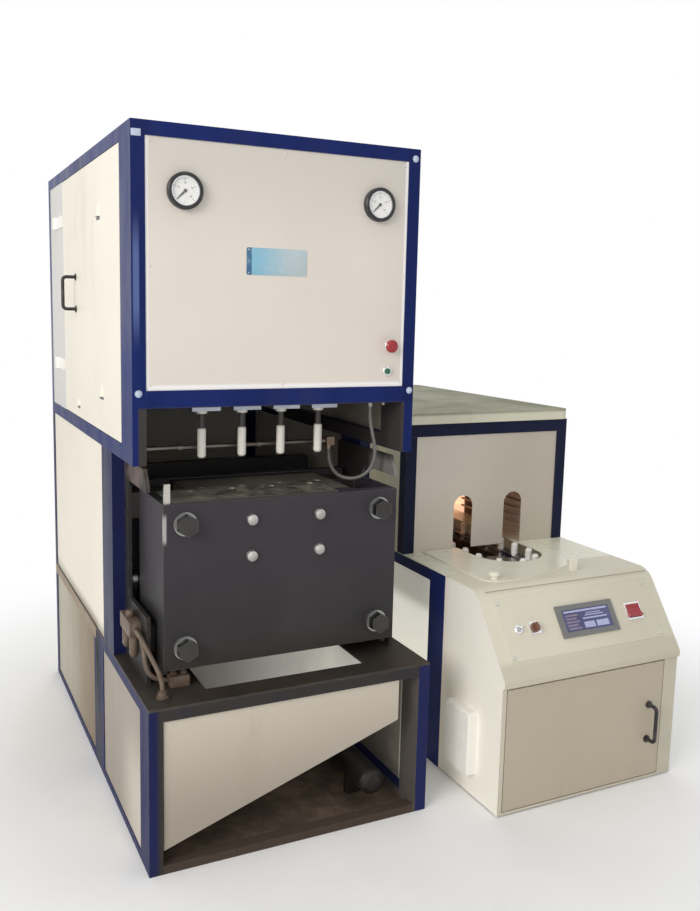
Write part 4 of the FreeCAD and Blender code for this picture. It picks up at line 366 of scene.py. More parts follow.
def bare_steel(name, colour, rough=0.32, grain=(1, 1, 40), rust=0.0, dark_share=0.35,
               tint=None):
    """Machined steel: a fine lay along one axis, darker smears and, if asked, rust freckles."""
    s = Shader(name)
    lay = s.noise(30.0, 3.0, grain)
    smear = s.noise(7.0, 6.0, (1, 1, 1), 0.65)
    tone = s.blend(s.ramp(smear, 0.42, 0.75, 0.0, dark_share), colour, darker(colour, 0.35))
    if tint:
        tone = tint(s, tone)
    if rust:
        freckle = s.patches(60.0, 6.0, 0.56, 0.70, 0.0, rust, rough=0.7)
        tone = s.blend(freckle, tone, RUST)
    s.colour(s.blend(s.part(s.edge(0.0015), 0.4), tone, darker(colour, 1.25)))
    s.set(Metallic=1.0, Roughness=s.ramp(lay, 0.2, 0.8, rough - 0.08, rough + 0.14))
    s.bump(lay, 0.10, 0.0003)
    return s.material


def dark_plate(name, colour, rough=0.50, metal=0.15, tint=None):
    """Blackened plate with oil smears, scratches and bright worn edges."""
    s = Shader(name)
    cloud = s.noise(3.4, 6.0, (1, 1, 1), 0.62)
    tone = s.blend(s.ramp(cloud, 0.32, 0.7), darker(colour, 0.78), darker(colour, 1.2))
    if tint:
        tone = tint(s, tone)
    scratches = s.patches(14.0, 9.0, 0.68, 0.76, 0.0, 0.35, stretch=(1, 1, 0.08), rough=0.85)
    tone = s.blend(scratches, tone, darker(WORN_PLATE, 0.8))
    worn = s.both(s.edge(0.003), s.patches(30.0, 4.0, 0.38, 0.62, 0.1, 0.75))
    s.colour(s.blend(worn, tone, WORN_PLATE))
    s.set(Metallic=metal, Specular_IOR_Level=0.32,
          Roughness=s.ramp(cloud, 0.25, 0.75, rough - 0.096, rough + 0.14))
    s.bump(s.noise(55.0, 5.0), 0.10, 0.0006)
    return s.material


def plastic(name, colour, rough=0.38, grain=420.0, grime=0.2):
    """Moulded plastic with a fine grain and dust in its corners."""
    s = Shader(name)
    dust = s.patches(22.0, 5.0, 0.50, 0.78, 0.0, grime)
    s.colour(s.blend(dust, colour, GREY_DUST))
    s.set(Roughness=s.patches(18.0, 3.0, 0.3, 0.7, rough - 0.05, rough + 0.1),
          Specular_IOR_Level=0.4, Coat_Weight=0.1)
    s.bump(s.noise(grain, 2.0), 0.08, 0.0003)
    return s.material


def lower_sheets_darkened(s, tone):
    """Below the table the side sheets are darker: brown at the rear and grey in front, with a
    painted pool of light at the front foot.
    """
    low = s.before("z", 520, 60)
    left = s.before("x", 120, 60)
    rear = s.blend(s.along("y", 600, 1300), (0.195, 0.140, 0.085), (0.43, 0.40, 0.32))
    # Painted light: a paler patch at the front foot, where light comes up from the floor.
    painted_lit_foot = s.both(s.before("z", 300, 260), s.before("y", 120, 260))
    front = s.blend(painted_lit_foot, (0.33, 0.29, 0.245), (0.56, 0.51, 0.44))
    dull = s.blend(s.past("y", 545, 4), front, rear)
    return s.blend(s.part(s.both(low, left), 0.95), tone, dull)


def inner_faces_painted_shade(s, tone):
    """Painted shade: the sheets' inner faces are darkened in patches, as the bay under the head is
    in shade.
    """
    inside = s.both(s.past("x", 4, 0.6), s.before("x", 903, 0.6),
                    s.past("y", 4, 0.6), s.before("y", 700, 400), s.before("z", 1700, 100))
    cloud = s.patches(5.0, 6.0, 0.3, 0.7, 0.75, 0.95, rough=0.7)
    return s.blend(s.both(inside, cloud), tone, (0.26, 0.225, 0.19))


def strip_shaded(s, tone):
    """Painted shade: the strip behind the door is painted a cooler grey than the door, as it lies
    in shade.
    """
    low = s.both(s.past("y", 1090, 8), s.past("z", 1190, 20), s.before("x", 60, 20))
    return s.blend(s.part(low, 0.55), tone, (0.50, 0.52, 0.56))


def tower_tones(s, tone):
    return inner_faces_painted_shade(s, strip_shaded(s, lower_sheets_darkened(s, tone)))


def chute_tones(s, tone):
    """The chute's face darkens downwards; its trough is painted pale as painted light, with stains.
    """
    inside = s.past("y", -150, 6)
    low = s.before("z", 300, 420)
    tone = s.blend(s.part(low, 0.85), tone, (0.32, 0.275, 0.225))
    stains = s.patches(6.0, 6.0, 0.42, 0.72, 0.0, 0.45, stretch=(1, 1, 0.5), rough=0.7)
    # Painted light: the trough lies in shade and is given a pale tone.
    trough = s.blend(stains, (0.90, 0.885, 0.82), (0.50, 0.49, 0.44))
    return s.blend(inside, tone, trough)


def trough_light(s):
    """Painted light: a glow on the trough stands in for the daylight that comes down the open drop,
    more of it at the shallow right end.
    """
    inside = s.both(s.past("y", -150, 6), s.past("z", 200, 60))
    return s.both(inside, s.along("x", 250, 800, 0.03, 0.19))


def front_base_grime(s):
    """The base's rails and inner sides are black with oil; its outer posts stay blue."""
    front = s.before("y", 1200, 40)
    between = s.both(s.past("x", 26, 18), s.before("x", 868, 3))
    patches = s.patches(11.0, 6.0, 0.30, 0.62, 0.78, 1.0, rough=0.7)
    return s.both(front, between, patches)


def base_tones(s, tone):
    """A brown bottom rail and the right post's inner side lightened as painted light; on the left
    side a tan rear rail and dark joint.
    """
    side = s.before("x", 1, 1)
    rail = s.both(side, s.past("y", 568, 3), s.past("z", 452, 2))
    tone = s.blend(rail, tone, (0.30, 0.235, 0.165))
    low = s.both(s.before("z", 66, 4), s.within("x", 40, 868, 10))
    tone = s.blend(s.part(low, 0.8), tone, (0.078, 0.056, 0.042))
    joint = s.both(side, s.within("y", 516, 566, 5))
    tone = s.blend(joint, tone, (0.008, 0.007, 0.008))
    # Painted light: the right post's inner side lies in shade and is painted lighter.
    inner = s.both(s.within("x", 860, 868, 1), s.before("z", 452, 6))
    return s.blend(s.part(inner, 0.8), tone, (0.105, 0.093, 0.082))


def head_frame_tones(s, tone):
    """A painted highlight down the left front post; the right front post is the darkest blue."""
    front = s.before("y", 1, 1)
    # Painted highlight: a pale gleam on the left front post.
    post = s.both(front, s.within("x", 5, 22, 5), s.within("z", 1540, 1800, 150))
    tone = s.blend(s.part(post, 0.8), tone, (0.115, 0.165, 0.37))
    right = s.both(s.past("x", 866, 2), s.past("z", 1316, 6))
    return s.blend(s.part(right, 0.4), tone, (0.005, 0.011, 0.060))


def head_panel_tones(s, tone):
    """Painted shade: a shade cooler towards the top and the right; a painted highlight as a bright
    lip round its edge.
    """
    share = s.maths("ADD", s.along("z", 1720, 2080, 0.0, 0.55),
                    s.along("x", 693, 893, 0.0, 0.2), clamp=True)
    tone = s.blend(share, tone, (0.56, 0.525, 0.48))
    lip = s.maths("MAXIMUM", s.outside("x", 48, 858, 5), s.before("z", 1380, 9))
    return s.blend(s.part(lip, 0.8), tone, (0.97, 0.96, 0.96))


def desk_tones(s, tone):
    """Painted shade: the console darkens a little towards the right and at its front lip."""
    tone = s.blend(s.along("x", 1343, 1743, 0.0, 0.6), tone, (0.60, 0.56, 0.45))
    lip = s.before("z", 500, 24)
    return s.blend(s.part(lip, 0.5), tone, (0.50, 0.46, 0.37))


def bay_painted_shade(s):
    """Painted shade inside the nozzle bay: the posts' inner sides under the brow take the dark
    grime tone.
    """
    low = s.before("z", 1316, 10)
    inner = s.both(s.past("x", 17, 5), s.before("x", 876, 4), s.before("y", 1000, 40))
    return s.part(s.both(low, inner), 0.94)


def floor_rust(s, tone):
    """The base's floor plate is rusty; the table has brown patches."""
    low = s.before("z", 200, 60)
    rust = s.patches(7.0, 7.0, 0.35, 0.68, 0.25, 0.95, rough=0.75)
    tone = s.blend(s.both(low, rust), tone, (0.22, 0.16, 0.12))
    brown = s.patches(9.0, 6.0, 0.45, 0.70, 0.0, 0.5, rough=0.7)
    return s.blend(brown, tone, (0.075, 0.052, 0.036))


def platen_tones(s, tone):
    """Bluer towards the top, brown with oil at the foot, a painted highlight at the left end's
    front edge.
    """
    high = s.along("z", 600, 980)
    tone = s.blend(s.part(high, 0.6), tone, (0.040, 0.036, 0.048))
    foot = s.along("z", 660, 530, 0.0, 0.6)
    tone = s.blend(foot, tone, (0.034, 0.026, 0.020))
    left = s.before("x", 84, 4)
    # Painted highlight along the left end's front edge.
    gleam = s.both(left, s.past("y", -46, 2), s.within("z", 935, 1012, 24), s.before("y", -36, 6))
    return s.blend(gleam, tone, (0.42, 0.41, 0.40))


def fastener_tones(s, tone):
    """Dark nuts on light washers; the strap's top painted pale in patches as painted light, with a
    dark front edge and a painted highlight on the lug.
    """
    nuts = s.both(s.before("y", -52, 1), s.before("z", 1020, 5), s.outside("x", 325, 580))
    tone = s.blend(s.part(nuts, 0.9), tone, (0.034, 0.032, 0.031))
    top = s.past("z", 1042, 2)
    # Painted light: the strap's top lies under the head's shade and is painted pale in patches.
    worn = s.patches(16.0, 6.0, 0.4, 0.68, 0.5, 0.95, rough=0.7)
    tone = s.blend(s.both(top, worn), tone, (0.80, 0.745, 0.62))
    edge = s.both(top, s.before("y", -37, 1.5))
    tone = s.blend(edge, tone, (0.075, 0.068, 0.060))
    # Painted highlight: the lug at the strap's left end.
    lug = s.both(top, s.before("x", 100, 2))
    return s.blend(lug, tone, (0.62, 0.59, 0.53))


def cheek_tones(s, tone):
    """The right cheek's upper arm is painted a lighter grey as painted light; the left cheek's top
    is brown in patches.
    """
    right = s.past("x", 838, 4)
    # Painted light on the right cheek's upper arm.
    arm = s.both(right, s.within("z", 985, 1122, 40), s.before("y", 175, 60))
    tone = s.blend(s.part(arm, 0.8), tone, (0.26, 0.26, 0.25))
    left = s.both(s.before("x", 60, 4), s.past("z", 1060, 60), s.patches(9.0, 5.0, 0.42, 0.62))
    return s.blend(s.part(left, 0.7), tone, (0.17, 0.125, 0.105))


def manifold_tones(s, tone):
    """A dark pipe that ends in brass fittings."""
    brass = s.past("x", 690, 4)
    dark = s.both(s.maths("SUBTRACT", 1.0, brass), s.patches(8.0, 5.0, 0.3, 0.6, 0.5, 1.0))
    tone = s.blend(dark, tone, (0.16, 0.14, 0.12))
    return s.blend(s.both(brass, s.before("z", 1200, 4)), tone, (0.25, 0.18, 0.13))


def nozzle_tones(s, tone):
    """White seal sleeves on dark stems under pale flanges."""
    stem = s.within("z", 1232, 1277, 1.5)
    return s.blend(stem, tone, (0.060, 0.055, 0.052))


def cover_tones(s, tone):
    """Dust and lamp heat have turned the oven's cover a greenish grey on top."""
    top = s.past("z", 1222, 12)
    cloud = s.patches(2.4, 6.0, 0.3, 0.7, 0.55, 0.9, rough=0.65)
    return s.blend(s.both(top, cloud), tone, (0.20, 0.21, 0.145))


def deck_tones(s, tone):
    """Yellower with heat in patches."""
    return s.blend(s.patches(3.2, 5.0, 0.4, 0.75, 0.15, 0.5), tone, (0.60, 0.60, 0.46))


def oven_front_tones(s, tone):
    """Painted shade: browner towards the right."""
    return s.blend(s.along("x", 1243, 1643), tone, (0.535, 0.48, 0.405))


def between_glow(s):
    """Painted light: a glow on the heater's near panel stands in for the light that comes back off
    the tower's side.
    """
    low = s.before("z", 545, 60)
    strength = s.maths("ADD", s.part(low, 0.30), 0.20)
    shown = s.both(s.before("x", 1100, 4), s.within("y", -20, 700, 240), s.before("z", 690, 8))
    return s.maths("MULTIPLY", shown, strength)


def rack_steel(name):
    """Heat-stained reflectors: a painted glow of the lamps' light at the far zone, scorched beside
    it, dull in front.
    """
    s = Shader(name)
    far = s.past("y", 864, 14)
    beside = s.both(s.past("y", 720, 80), s.maths("SUBTRACT", 1.0, far))
    cloud = s.noise(9.0, 5.0)
    tone = s.blend(s.ramp(cloud, 0.3, 0.7), (0.40, 0.35, 0.32), (0.50, 0.45, 0.42))
    tone = s.blend(s.past("x", 1600, 20), tone, (0.42, 0.44, 0.45))
    s.colour(s.blend(s.part(beside, 0.9), tone, (0.060, 0.022, 0.012)))
    # Painted light: the reflectors glow though they are no lamps.
    s.set(Emission_Color=(1.0, 0.60, 0.40, 1),
          Emission_Strength=s.both(far, s.ramp(cloud, 0.2, 0.7, 0.65, 0.9)))
    s.set(Metallic=0.2, Roughness=s.ramp(cloud, 0.3, 0.7, 0.45, 0.6), Specular_IOR_Level=0.2)
    s.bump(s.noise(70.0, 4.0), 0.08, 0.0004)
    return s.material


def nozzle_white(name):
    s = Shader(name)
    stain = s.patches(40.0, 5.0, 0.5, 0.8, 0.0, 0.35, stretch=(1, 1, 0.3), rough=0.65)
    s.colour(nozzle_tones(s, s.blend(stain, (0.86, 0.83, 0.77), (0.55, 0.48, 0.38))))
    s.set(Roughness=s.patches(18.0, 3.0, 0.3, 0.7, 0.30, 0.42), Specular_IOR_Level=0.4)
    s.bump(s.noise(300.0, 2.0), 0.06, 0.0003)
    return s.material


def quartz_lamps(name):
    """Quartz tubes: the left bank and the far zone are lit, the rest is cold."""
    s = Shader(name)
    lit = s.maths("MAXIMUM", s.before("x", 1471, 40), s.past("y", 864, 14))
    waver = s.patches(40.0, 2.0, 0.3, 0.7, 0.85, 1.1)
    s.colour(s.blend(lit, (0.46, 0.41, 0.38), (0.85, 0.52, 0.34)))
    s.set(Emission_Color=(1.0, 0.47, 0.24, 1),
          Emission_Strength=s.maths("MULTIPLY", s.both(lit, waver), 1.5),
          Roughness=s.patches(30.0, 3.0, 0.3, 0.7, 0.08, 0.18))
    return s.material


MATERIALS = {
    "navy_frame": frame_paint("navy_enamel", NAVY),
    "dark_base": frame_paint("base_enamel", (0.016, 0.021, 0.092), 0.42,
                             (0.043, 0.038, 0.033), darkened_where=front_base_grime,
                             tint=base_tones),
    "cream_sheet": sheet_paint("cream_coat", CREAM),
    "greige_sheet": sheet_paint("greige_coat", GREIGE, 0.40, dirt_share=0.08),
    "dark_plate": dark_plate("oily_table", (0.042, 0.035, 0.029), tint=floor_rust),
    "charcoal_plate": dark_plate("blackened_plate", (0.034, 0.030, 0.031)),
    "ground_steel": bare_steel("ground_steel", (0.50, 0.50, 0.51), 0.36, (1, 1, 40), 0.2),
    "hard_chrome": bare_steel("hard_chrome", (0.78, 0.78, 0.80), 0.16, (1, 30, 1), 0.0, 0.2),
    "aluminium": bare_steel("milled_aluminium", (0.66, 0.67, 0.69), 0.38, (1, 1, 30)),
    "black_plastic": plastic("black_moulding", (0.018, 0.018, 0.020), 0.33),
    "white_plastic": plastic("white_moulding", (0.91, 0.89, 0.83), 0.42, 420.0, 0.08),
    "grey_hose": plastic("hose_skin", (0.15, 0.145, 0.138), 0.45, 500.0),
    "screen_grey": plastic("screen_case", (0.18, 0.18, 0.18), 0.42),
    "red_plastic": plastic("red_moulding", (0.34, 0.028, 0.034), 0.34),
    "green_plastic": plastic("green_moulding", (0.018, 0.13, 0.055), 0.34),
    "brown_plastic": plastic("brown_moulding", (0.19, 0.085, 0.055), 0.36),
    "gear_grey": plastic("gear_moulding", (0.20, 0.185, 0.165), 0.5),
    "lamp_glass": quartz_lamps("quartz_tubes"),
}

# Pieces whose finish differs from the rest of their slot.
OWN_FINISH = {
    "tower_panels": sheet_paint("tower_coat", CREAM, specular=0.15, tint=tower_tones),
    "waist_frame": frame_paint("waist_enamel", (0.013, 0.017, 0.070), grime_share=0.6),
    "bottle_chute": sheet_paint("chute_coat", (0.60, 0.545, 0.455), tint=chute_tones,
                                dirt_share=0.35, floor_dirt=0.6, glow=trough_light),
    # The head's grime tone also serves as the painted shade of the nozzle bay.
    "head_frame": frame_paint("head_enamel", NAVY, grime=(0.052, 0.045, 0.040),
                              darkened_where=bay_painted_shade, tint=head_frame_tones),
    "head_front_panel": sheet_paint("head_panel_coat", GREIGE, 0.40,
                                    dirt_share=0.08, tint=head_panel_tones),
    "air_receiver": dark_plate("receiver_black", (0.020, 0.017, 0.015)),
    "mould_front": dark_plate("front_mould_steel", (0.22, 0.205, 0.165), 0.42, metal=0.3),
    "mould_rear": dark_plate("rear_mould_steel", (0.18, 0.168, 0.138), 0.42, metal=0.3),
    "oven_frame": frame_paint("oven_enamel", (0.012, 0.016, 0.045), 0.4, grime_share=0.2),
    "front_platen": dark_plate("front_platen_black", (0.036, 0.033, 0.034), tint=platen_tones),
    "platen_fasteners": bare_steel("fastener_steel", (0.46, 0.46, 0.45), 0.34, (1, 1, 12), 0.15,
                                   0.45, fastener_tones),
    "clamp_side_plates": dark_plate("cheek_black", (0.032, 0.029, 0.028), tint=cheek_tones),
    "air_manifold": bare_steel("pipe_steel", (0.36, 0.35, 0.34), 0.42, (1, 1, 12), 0.2, 0.4,
                               manifold_tones),
    "nozzles": nozzle_white("seal_white"),
    "blow_head": bare_steel("block_aluminium", (0.50, 0.53, 0.60), 0.40, (1, 1, 30)),
    "oven_cover": sheet_paint("cover_coat", (0.74, 0.72, 0.58), 0.7, specular=0.08,
                              tint=cover_tones),
    "heater_deck": sheet_paint("deck_coat", (0.84, 0.84, 0.68), 0.26, tint=deck_tones),
    "loading_plate": sheet_paint("wear_plate", (0.84, 0.815, 0.69), 0.22, mottle=0.03,
                                 dirt_share=0.12),
    "heater_panels": sheet_paint("heater_coat", (0.86, 0.85, 0.68), dirt_share=0.12,
                                 glow=between_glow),
    "lamp_racks": rack_steel("rack_steel"),
    # Painted light and shade: the console's sides, shell and door are one cream paint, given a
    # lighter tone on the lit sides and a darker one on the shaded door.
    "console_sides": sheet_paint("console_side_coat", (0.94, 0.90, 0.81), dirt_share=0.06,
                                 floor_dirt=0.1, specular=0.45),
    "console_shell": sheet_paint("console_coat", (0.75, 0.705, 0.575), dirt_share=0.12,
                                 floor_dirt=0.2, tint=desk_tones),
    "control_plate": sheet_paint("desk_coat", (0.74, 0.695, 0.575), 0.45, mottle=0.03,
                                 dirt_share=0.10, specular=0.2, tint=desk_tones),
    "console_door": sheet_paint("hatch_coat", (0.52, 0.455, 0.355), dirt_share=0.10,
                                floor_dirt=0.3),
    "oven_front_panel": sheet_paint("oven_coat", (0.73, 0.665, 0.575), dirt_share=0.15,
                                    tint=oven_front_tones),
    "service_unit": plastic("unit_brown", (0.115, 0.080, 0.056), 0.5, grime=0.4),
    "preform_holders": plastic("holder_white", (0.85, 0.83, 0.78), 0.3, grime=0.1),
    "control_gear": plastic("gear_case", (0.33, 0.34, 0.35), 0.5),
}


def dress(label, material):
    data = NODES[label].data
    data.materials.clear()
    data.materials.append(material)


for label, slot_name in SLOT_OF.items():
    dress(label, OWN_FINISH.get(label, MATERIALS[slot_name]))
hose.data.materials.append(MATERIALS["grey_hose"])


JOIN_DISTANCE = 0.00001


def soften(label, width):
    """Rounds a CAD piece's sharp edges with modifiers, once its faces are joined."""
    weld = NODES[label].modifiers.new("joined_faces", "WELD")
    weld.merge_threshold = JOIN_DISTANCE
    bevel = NODES[label].modifiers.new("soft_edges", "BEVEL")
    bevel.width = width / 1000
    bevel.segments = 2
    bevel.limit_method = "ANGLE"
    bevel.angle_limit = math.radians(50)
    bevel.harden_normals = True


for label, width in (("front_platen", 1.5), ("clamp_side_plates", 1.2), ("mould_front", 1.2),
                     ("mould_rear", 1.2), ("service_unit", 1.0), ("blow_head", 1.0)):
    soften(label, width)


# ---------------------------------------------------------------- forms in mesh code

def facing_front(level):
    """Across, up and out from an upright face that looks to the front."""
    return lambda across, up, out: at(across, level - out, up)


def facing_left(level):
    """Back, up and out from an upright face that looks to the left."""
    return lambda across, up, out: at(level - out, across, up)


def facing_up(level):
    """Across, back and out from a level face that looks up."""
    return lambda across, up, out: at(across, up, level + out)


# The console's sloping desk, drawn across from its left edge and up the slope to the fold.
HEATER_LEFT, CONSOLE_FRONT, CONSOLE_FOLD = 1092.0, -301.0, -140.0
DECK_HIGH, SLOPE_FOOT = 703.0, 470.0
SLOPE = math.atan2(DECK_HIGH - SLOPE_FOOT, CONSOLE_FOLD - CONSOLE_FRONT)


def on_desk(level):
    """Across, up the slope and out from a level over the desk."""
    def put(across, up, out):
        rise = level + out
        return at(HEATER_LEFT + across,
                  CONSOLE_FOLD + up * math.cos(SLOPE) - rise * math.sin(SLOPE),
                  DECK_HIGH + up * math.sin(SLOPE) + rise * math.cos(SLOPE))
    return put


def ring(across, up, radius, out, count=40):
    """The points of a circle."""
    turns = (2 * math.pi * k / count for k in range(count))
    return [(across + radius * math.cos(t), up + radius * math.sin(t), out) for t in turns]


CORNER_STEPS = 5


def soft_rectangle(left, right, low, high, corner, out):
    """The points of a rectangle whose corners are arcs."""
    middles = ((right - corner, high - corner), (left + corner, high - corner),
               (left + corner, low + corner), (right - corner, low + corner))
    points = []
    for quarter, (across, up) in enumerate(middles):
        for step in range(CORNER_STEPS + 1):
            turn = (quarter + step / CORNER_STEPS) * math.pi / 2
            points.append((across + corner * math.cos(turn), up + corner * math.sin(turn), out))
    return points


MERGE_DISTANCE = 0.0000005


class Form:
    """Closed forms lofted through rings of points, joined in one mesh."""

    def __init__(self, put):
        self.put = put
        self.mesh = bmesh.new()

    def loft(self, *rings, capped=True):
        rows = [[self.mesh.verts.new(self.put(*point)) for point in points] for points in rings]
        for lower, upper in zip(rows, rows[1:]):
            count = len(lower)
            for k in range(count):
                after = (k + 1) % count
                self.mesh.faces.new((lower[k], lower[after], upper[after], upper[k]))
        if capped:
            self.mesh.faces.new(rows[0][::-1])
            self.mesh.faces.new(rows[-1])
        return self

    def tube_ring(self, across, up, inner, outer, low, high):
        """A flat ring with a small chamfer on its outer edge."""
        rows = [ring(across, up, radius, out, 48) for radius, out in (
            (inner, low), (outer, low), (outer, high - 0.4), (outer - 0.4, high), (inner, high))]
        return self.loft(*rows, rows[0], capped=False)

    def turned(self, across, up, profile, count):
        """A form turned about an axis that stands out of the face, from radii and levels."""
        return self.loft(*(ring(across, up, radius, out, count) for radius, out in profile))

    def screw(self, across, up, radius, tall):
        """A plain pan head."""
        return self.turned(across, up, ((radius, 0), (radius, tall * 0.45),
                                        (radius * 0.86, tall * 0.85), (radius * 0.5, tall)), 24)

    def slab(self, left, right, low, high, corner, foot, top):
        """A flat rectangle with rounded corners."""
        return self.loft(soft_rectangle(left, right, low, high, corner, foot),
                         soft_rectangle(left, right, low, high, corner, top))

    def bar(self, start, end, width, low, high):
        """A straight bar between two points of the face."""
        (a, b), (c, d) = start, end
        long = math.hypot(c - a, d - b)
        side = (-(d - b) / long * width / 2, (c - a) / long * width / 2)
        outline = [(a + side[0], b + side[1]), (a - side[0], b - side[1]),
                   (c - side[0], d - side[1]), (c + side[0], d + side[1])]
        return self.loft([(*p, low) for p in outline], [(*p, high) for p in outline])

    def words(self, text, across, up, size, out):
        """Figures laid on the face, centred on a point."""
        curve = bpy.data.curves.new("figures", "FONT")
        curve.body = text
        curve.size = size
        curve.align_x = curve.align_y = "CENTER"
        curve.resolution_u = 3
        flat = mesh_of(curve)
        verts = [self.mesh.verts.new(self.put(across + v.co.x, up + v.co.y, out))
                 for v in flat.vertices]
        for face in flat.polygons:
            self.mesh.faces.new([verts[k] for k in face.vertices])
        bpy.data.meshes.remove(flat)
        return self

    def place(self, name, body, slot, material):
        """Ends the form as a piece that rides on a body."""
        mesh = bpy.data.meshes.new(name)
        bmesh.ops.remove_doubles(self.mesh, verts=self.mesh.verts, dist=MERGE_DISTANCE)
        bmesh.ops.recalc_face_normals(self.mesh, faces=self.mesh.faces)
        self.mesh.to_mesh(mesh)
        self.mesh.free()
        smooth(mesh)
        mesh.materials.append(material)
        piece = add(name, mesh)
        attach(piece, body)
        return piece


# ---------------------------------------------------------------- pressure gauges

GAUGES = {"left": (151.0, 1920.0), "right": (764.0, 1923.0)}
DIAL_FACE = -7.2
DIAL_RADIUS, MARK_RADIUS, FIGURE_RADIUS = 40.7, 36.5, 21.5
FIRST_MARK, LAST_MARK = math.radians(225), math.radians(-45)
MARK_STEPS = 20


def dial_paint(name):
    s = Shader(name)
    yellowed = s.patches(34.0, 4.0, 0.42, 0.72, 0.0, 0.35)
    s.colour(s.blend(yellowed, (0.90, 0.89, 0.86), (0.78, 0.76, 0.70)))
    s.set(Roughness=s.patches(25.0, 3.0, 0.3, 0.7, 0.35, 0.5))
    s.bump(s.noise(320.0, 2.0), 0.05, 0.0002)
    return s.material


def ink_paint(name, colour):
    s = Shader(name)
    worn = s.patches(180.0, 4.0, 0.45, 0.75, 0.0, 0.4)
    s.colour(s.blend(worn, colour, tuple(min(1.0, channel + 0.12) for channel in colour)))
    s.set(Roughness=s.patches(90.0, 3.0, 0.3, 0.7, 0.45, 0.6))
    return s.material


def window_glass(name):
    """A thin clear pane, faintly dusty."""
    s = Shader(name)
    dust = s.patches(26.0, 5.0, 0.45, 0.8, 0.06, 0.16)
    s.colour((0.92, 0.95, 0.96))
    s.set(Alpha=dust, Roughness=s.patches(40.0, 3.0, 0.3, 0.7, 0.03, 0.12),
          Specular_IOR_Level=0.8)
    return s.material


def make_gauges():
    white = dial_paint("dial_white")
    ink = ink_paint("dial_ink", (0.02, 0.02, 0.025))
    glass = window_glass("gauge_glass")
    for side, (across, up) in GAUGES.items():
        put = facing_front(DIAL_FACE)
        Form(put).turned(across, up, ((DIAL_RADIUS, 0.02), (DIAL_RADIUS, 0.16)), 56) \
            .place(f"{side}_dial", "machine", "white_plastic", white)
        marks = Form(put)
        for step in range(MARK_STEPS + 1):
            turn = FIRST_MARK + (LAST_MARK - FIRST_MARK) * step / MARK_STEPS
            long, width = (8.5, 1.3) if step % 5 == 0 else (4.5, 0.7)
            ends = [(across + r * math.cos(turn), up + r * math.sin(turn))
                    for r in (MARK_RADIUS - long, MARK_RADIUS)]
            marks.bar(*ends, width, 0.16, 0.24)
            if step % 5 == 0:
                marks.words(str(step * 2), across + FIGURE_RADIUS * math.cos(turn),
                            up + FIGURE_RADIUS * math.sin(turn), 8.5, 0.2)
        marks.place(f"{side}_dial_marks", "machine", "black_plastic", ink)
        Form(put).tube_ring(across, up, 37.6, 40.8, 0.2, 5.0) \
            .place(f"{side}_dial_ring", "machine", "hard_chrome", MATERIALS["hard_chrome"])
        Form(put).turned(across, up, ((40.8, 5.2), (40.8, 6.0), (40.2, 6.6)), 56) \
            .place(f"{side}_gauge_glass", "machine", "lamp_glass", glass)


make_gauges()


# ---------------------------------------------------------------- trim of the head

def plate_paint(name):
    """A bare enamelled plate: pale blue, with a deeper band at its left end."""
    s = Shader(name)
    deep = s.before("x", 352, 3)
    fade = s.along("x", 352, 500)
    tone = s.blend(fade, (0.22, 0.47, 0.62), (0.52, 0.62, 0.65))
    tone = s.blend(deep, tone, (0.035, 0.13, 0.25))
    worn = s.patches(30.0, 5.0, 0.5, 0.8, 0.0, 0.35)
    s.colour(s.blend(worn, tone, (0.58, 0.60, 0.58)))
    s.set(Roughness=s.patches(20.0, 4.0, 0.3, 0.7, 0.25, 0.4), Coat_Weight=0.3)
    s.bump(s.noise(150.0, 2.0), 0.06, 0.0003)
    return s.material


def make_head_trim():
    panel = facing_front(HEAD_PANEL_FACE)
    Form(panel).loft(soft_rectangle(336, 527, 1698, 1776, 5, 0),
                     soft_rectangle(336, 527, 1698, 1776, 5, 0.9),
                     soft_rectangle(336.6, 526.4, 1698.6, 1775.4, 4.4, 1.3)) \
        .place("bare_plate", "machine", "aluminium", plate_paint("plate_enamel"))
    rivets = Form(panel)
    for across in (342, 521):
        for up in (1704, 1770):
            rivets.screw(across, up, 2.2, 2.6)
    rivets.place("plate_rivets", "machine", "aluminium", MATERIALS["aluminium"])
    screws = Form(panel)
    for across, up in ((52, 1380), (453, 1380), (855, 1380), (52, 1713), (855, 1713),
                       (52, 2047), (453, 2047), (855, 2047)):
        screws.screw(across, up, 3.6, 2.0)
    screws.place("head_panel_screws", "machine", "greige_sheet", MATERIALS["greige_sheet"])
    bolts = Form(facing_front(0.0))
    for across, up in ((18, 1358), (892, 1352), (889, 2070)):
        bolts.turned(across, up, ((10.5, 0), (10.5, 1.2), (8.0, 1.3), (7.6, 4.2), (5.2, 5.8),
                                  (2.0, 6.3)), 32)
    bolts.loft(soft_rectangle(2, 29, 2055, 2074, 2, 0), soft_rectangle(2, 29, 2055, 2074, 2, 1.6),
               soft_rectangle(3.2, 27.8, 2056.2, 2072.8, 1.4, 2.4))
    bolts.place("head_frame_bolts", "machine", "ground_steel",
                plastic("bolt_caps", (0.50, 0.58, 0.72), 0.3, 200.0, 0.3))


def make_bolt_domes():
    """Bright cap nuts over the four bolts that hold the front mould half."""
    domes = Form(facing_front(PLATEN_FRONT))
    for across in (342, 562):
        for up in (874, 984):
            domes.turned(across, up, ((18.6, 0), (18.6, 3), (17.6, 8), (15.4, 12.4),
                                      (10.2, 15.2), (3.4, 16.6)), 32)
    domes.place("mould_bolt_domes", "front_clamp", "ground_steel",
                bare_steel("dome_nickel", (0.50, 0.49, 0.47), 0.40, (1, 1, 8), 0.2, 0.35))


DECK_PIPE_ROUTE = [(30, 60, 640), (30, 34, 632), (31, 10, 600), (34, -8, 548), (62, -14, 518),
                   (100, -10, 512)]
DECK_PIPE_RADIUS = 0.0075


